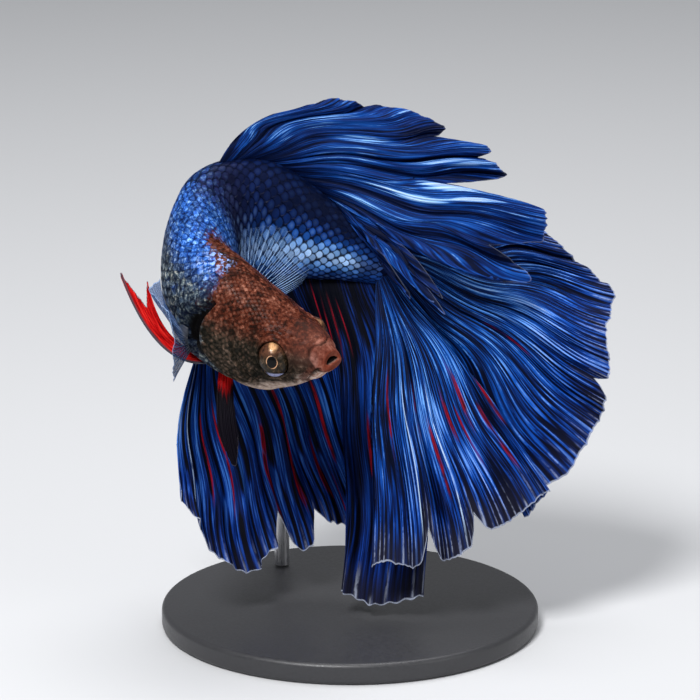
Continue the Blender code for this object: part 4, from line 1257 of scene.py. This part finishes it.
def build_rod():
    """The rod: up from the base, round a quarter bend, then level into the far flank."""
    x, y, z = lean(body_point(np.array([ROD_STATION]), np.array([0.0]))[0]) / MM
    bend = ROD_STAND_OFF
    path = [(x, y + bend, BASE_HEIGHT + STAND_GAP)]
    for a in np.linspace(0.0, math.pi / 2, 24):
        path.append((x, y + bend * math.cos(a), z - bend + bend * math.sin(a)))
    path = np.array([*path, (x, y - ROD_DEPTH, z)])
    side = np.array([1.0, 0.0, 0.0])
    other = np.cross(unit(np.gradient(path, axis=0)), side)
    around = circle(ROD_AROUND)[None, :, None]
    points = path[:, None] + ROD_RADIUS * (np.cos(around) * side + np.sin(around) * other[:, None])
    corners = np.arange(points.size // 3).reshape(len(path), ROD_AROUND).tolist()
    faces = grid_faces(len(path), ROD_AROUND, wrap=True).tolist() + [corners[0][::-1], corners[-1]]
    rod = make_mesh("rod_bent", points, faces, steel_material(), place=upright)
    rod.data.set_sharp_from_angle(angle=SHARP)
    place_piece(rod, "stand_rod", "stand_rod")


# ---- stage, light and camera, in metres ------------------------------------
FLOOR_HALF = 1.5
LAMPS = (  # name, place, size and power in watts
    ("key", (-0.14, -0.30, 0.44), 0.16, 3.1),
    ("fill", (0.42, -0.3, 0.2), 0.3, 0.45),
    ("top", (0.05, 0.12, 0.5), 0.3, 1.3),
)
SKY_COLOUR, SKY_STRENGTH = (0.86, 0.89, 0.93, 1.0), 0.30
CAMERA_TILT, CAMERA_AWAY = math.radians(15.0), 0.450
SENSOR, VIEW_WIDTH = 36.0, 0.0805  # the camera's sensor in mm, and how wide it sees at the model


def build_stage():
    """A pale floor that fills the view."""
    data = bpy.data.meshes.new("floor")
    corners = [(x * FLOOR_HALF, y * FLOOR_HALF, 0) for x, y in ((-1, -1), (1, -1), (1, 1), (-1, 1))]
    data.from_pydata(corners, [], [(0, 1, 2, 3)])
    data.materials.append(Shader("floor_pale", Roughness=0.85, Base_Color=(0.58, 0.585, 0.6, 1.0)).material)
    floor = add_object("floor", data)


def add_lamp(name, place, size, power, target):
    """A round area lamp that faces the target."""
    lamp = bpy.data.lights.new(name, "AREA")
    lamp.shape = "DISK"
    lamp.size = size
    lamp.energy = power
    obj = add_object(name, lamp)
    obj.location = place
    obj.rotation_mode = "QUATERNION"
    obj.rotation_quaternion = (Vector(target) - Vector(place)).to_track_quat("-Z", "Y")


def build_light_and_camera():
    scene = bpy.context.scene
    scene.world = bpy.data.worlds.new("studio")
    scene.world.use_nodes = True
    background = scene.world.node_tree.nodes["Background"]
    background.inputs["Color"].default_value = SKY_COLOUR
    background.inputs["Strength"].default_value = SKY_STRENGTH
    scene.view_settings.view_transform = "Standard"
    middle = (0.0, 0.0, LIFT * MM)
    for lamp in LAMPS:
        add_lamp(*lamp, middle)
    camera = add_object("camera", bpy.data.cameras.new("camera"))
    camera.data.sensor_width = SENSOR
    camera.data.lens = SENSOR * CAMERA_AWAY / VIEW_WIDTH
    camera.data.clip_start = 0.01
    back, up = CAMERA_AWAY * math.cos(CAMERA_TILT), CAMERA_AWAY * math.sin(CAMERA_TILT)
    camera.location = (0.0, -back, middle[2] + up)
    camera.rotation_euler = (math.pi / 2 - CAMERA_TILT, 0.0, 0.0)
    scene.camera = camera


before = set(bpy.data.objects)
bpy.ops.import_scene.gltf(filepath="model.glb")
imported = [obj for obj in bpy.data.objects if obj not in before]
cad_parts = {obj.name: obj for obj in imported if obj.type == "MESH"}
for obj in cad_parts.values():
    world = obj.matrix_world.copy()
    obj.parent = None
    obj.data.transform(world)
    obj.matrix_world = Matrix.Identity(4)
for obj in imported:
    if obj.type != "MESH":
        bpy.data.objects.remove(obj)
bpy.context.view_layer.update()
skin_grid = build_skin()
scale_look = scale_material()
for scale_stretch in SCALE_STRETCHES:
    build_scales(skin_grid, scale_stretch, scale_look)
eye_look = eye_material()
for eye_side in (1, -1):
    build_eye(eye_side, eye_look)
build_fins()
build_base()
build_rod()
build_stage()
build_light_and_camera()
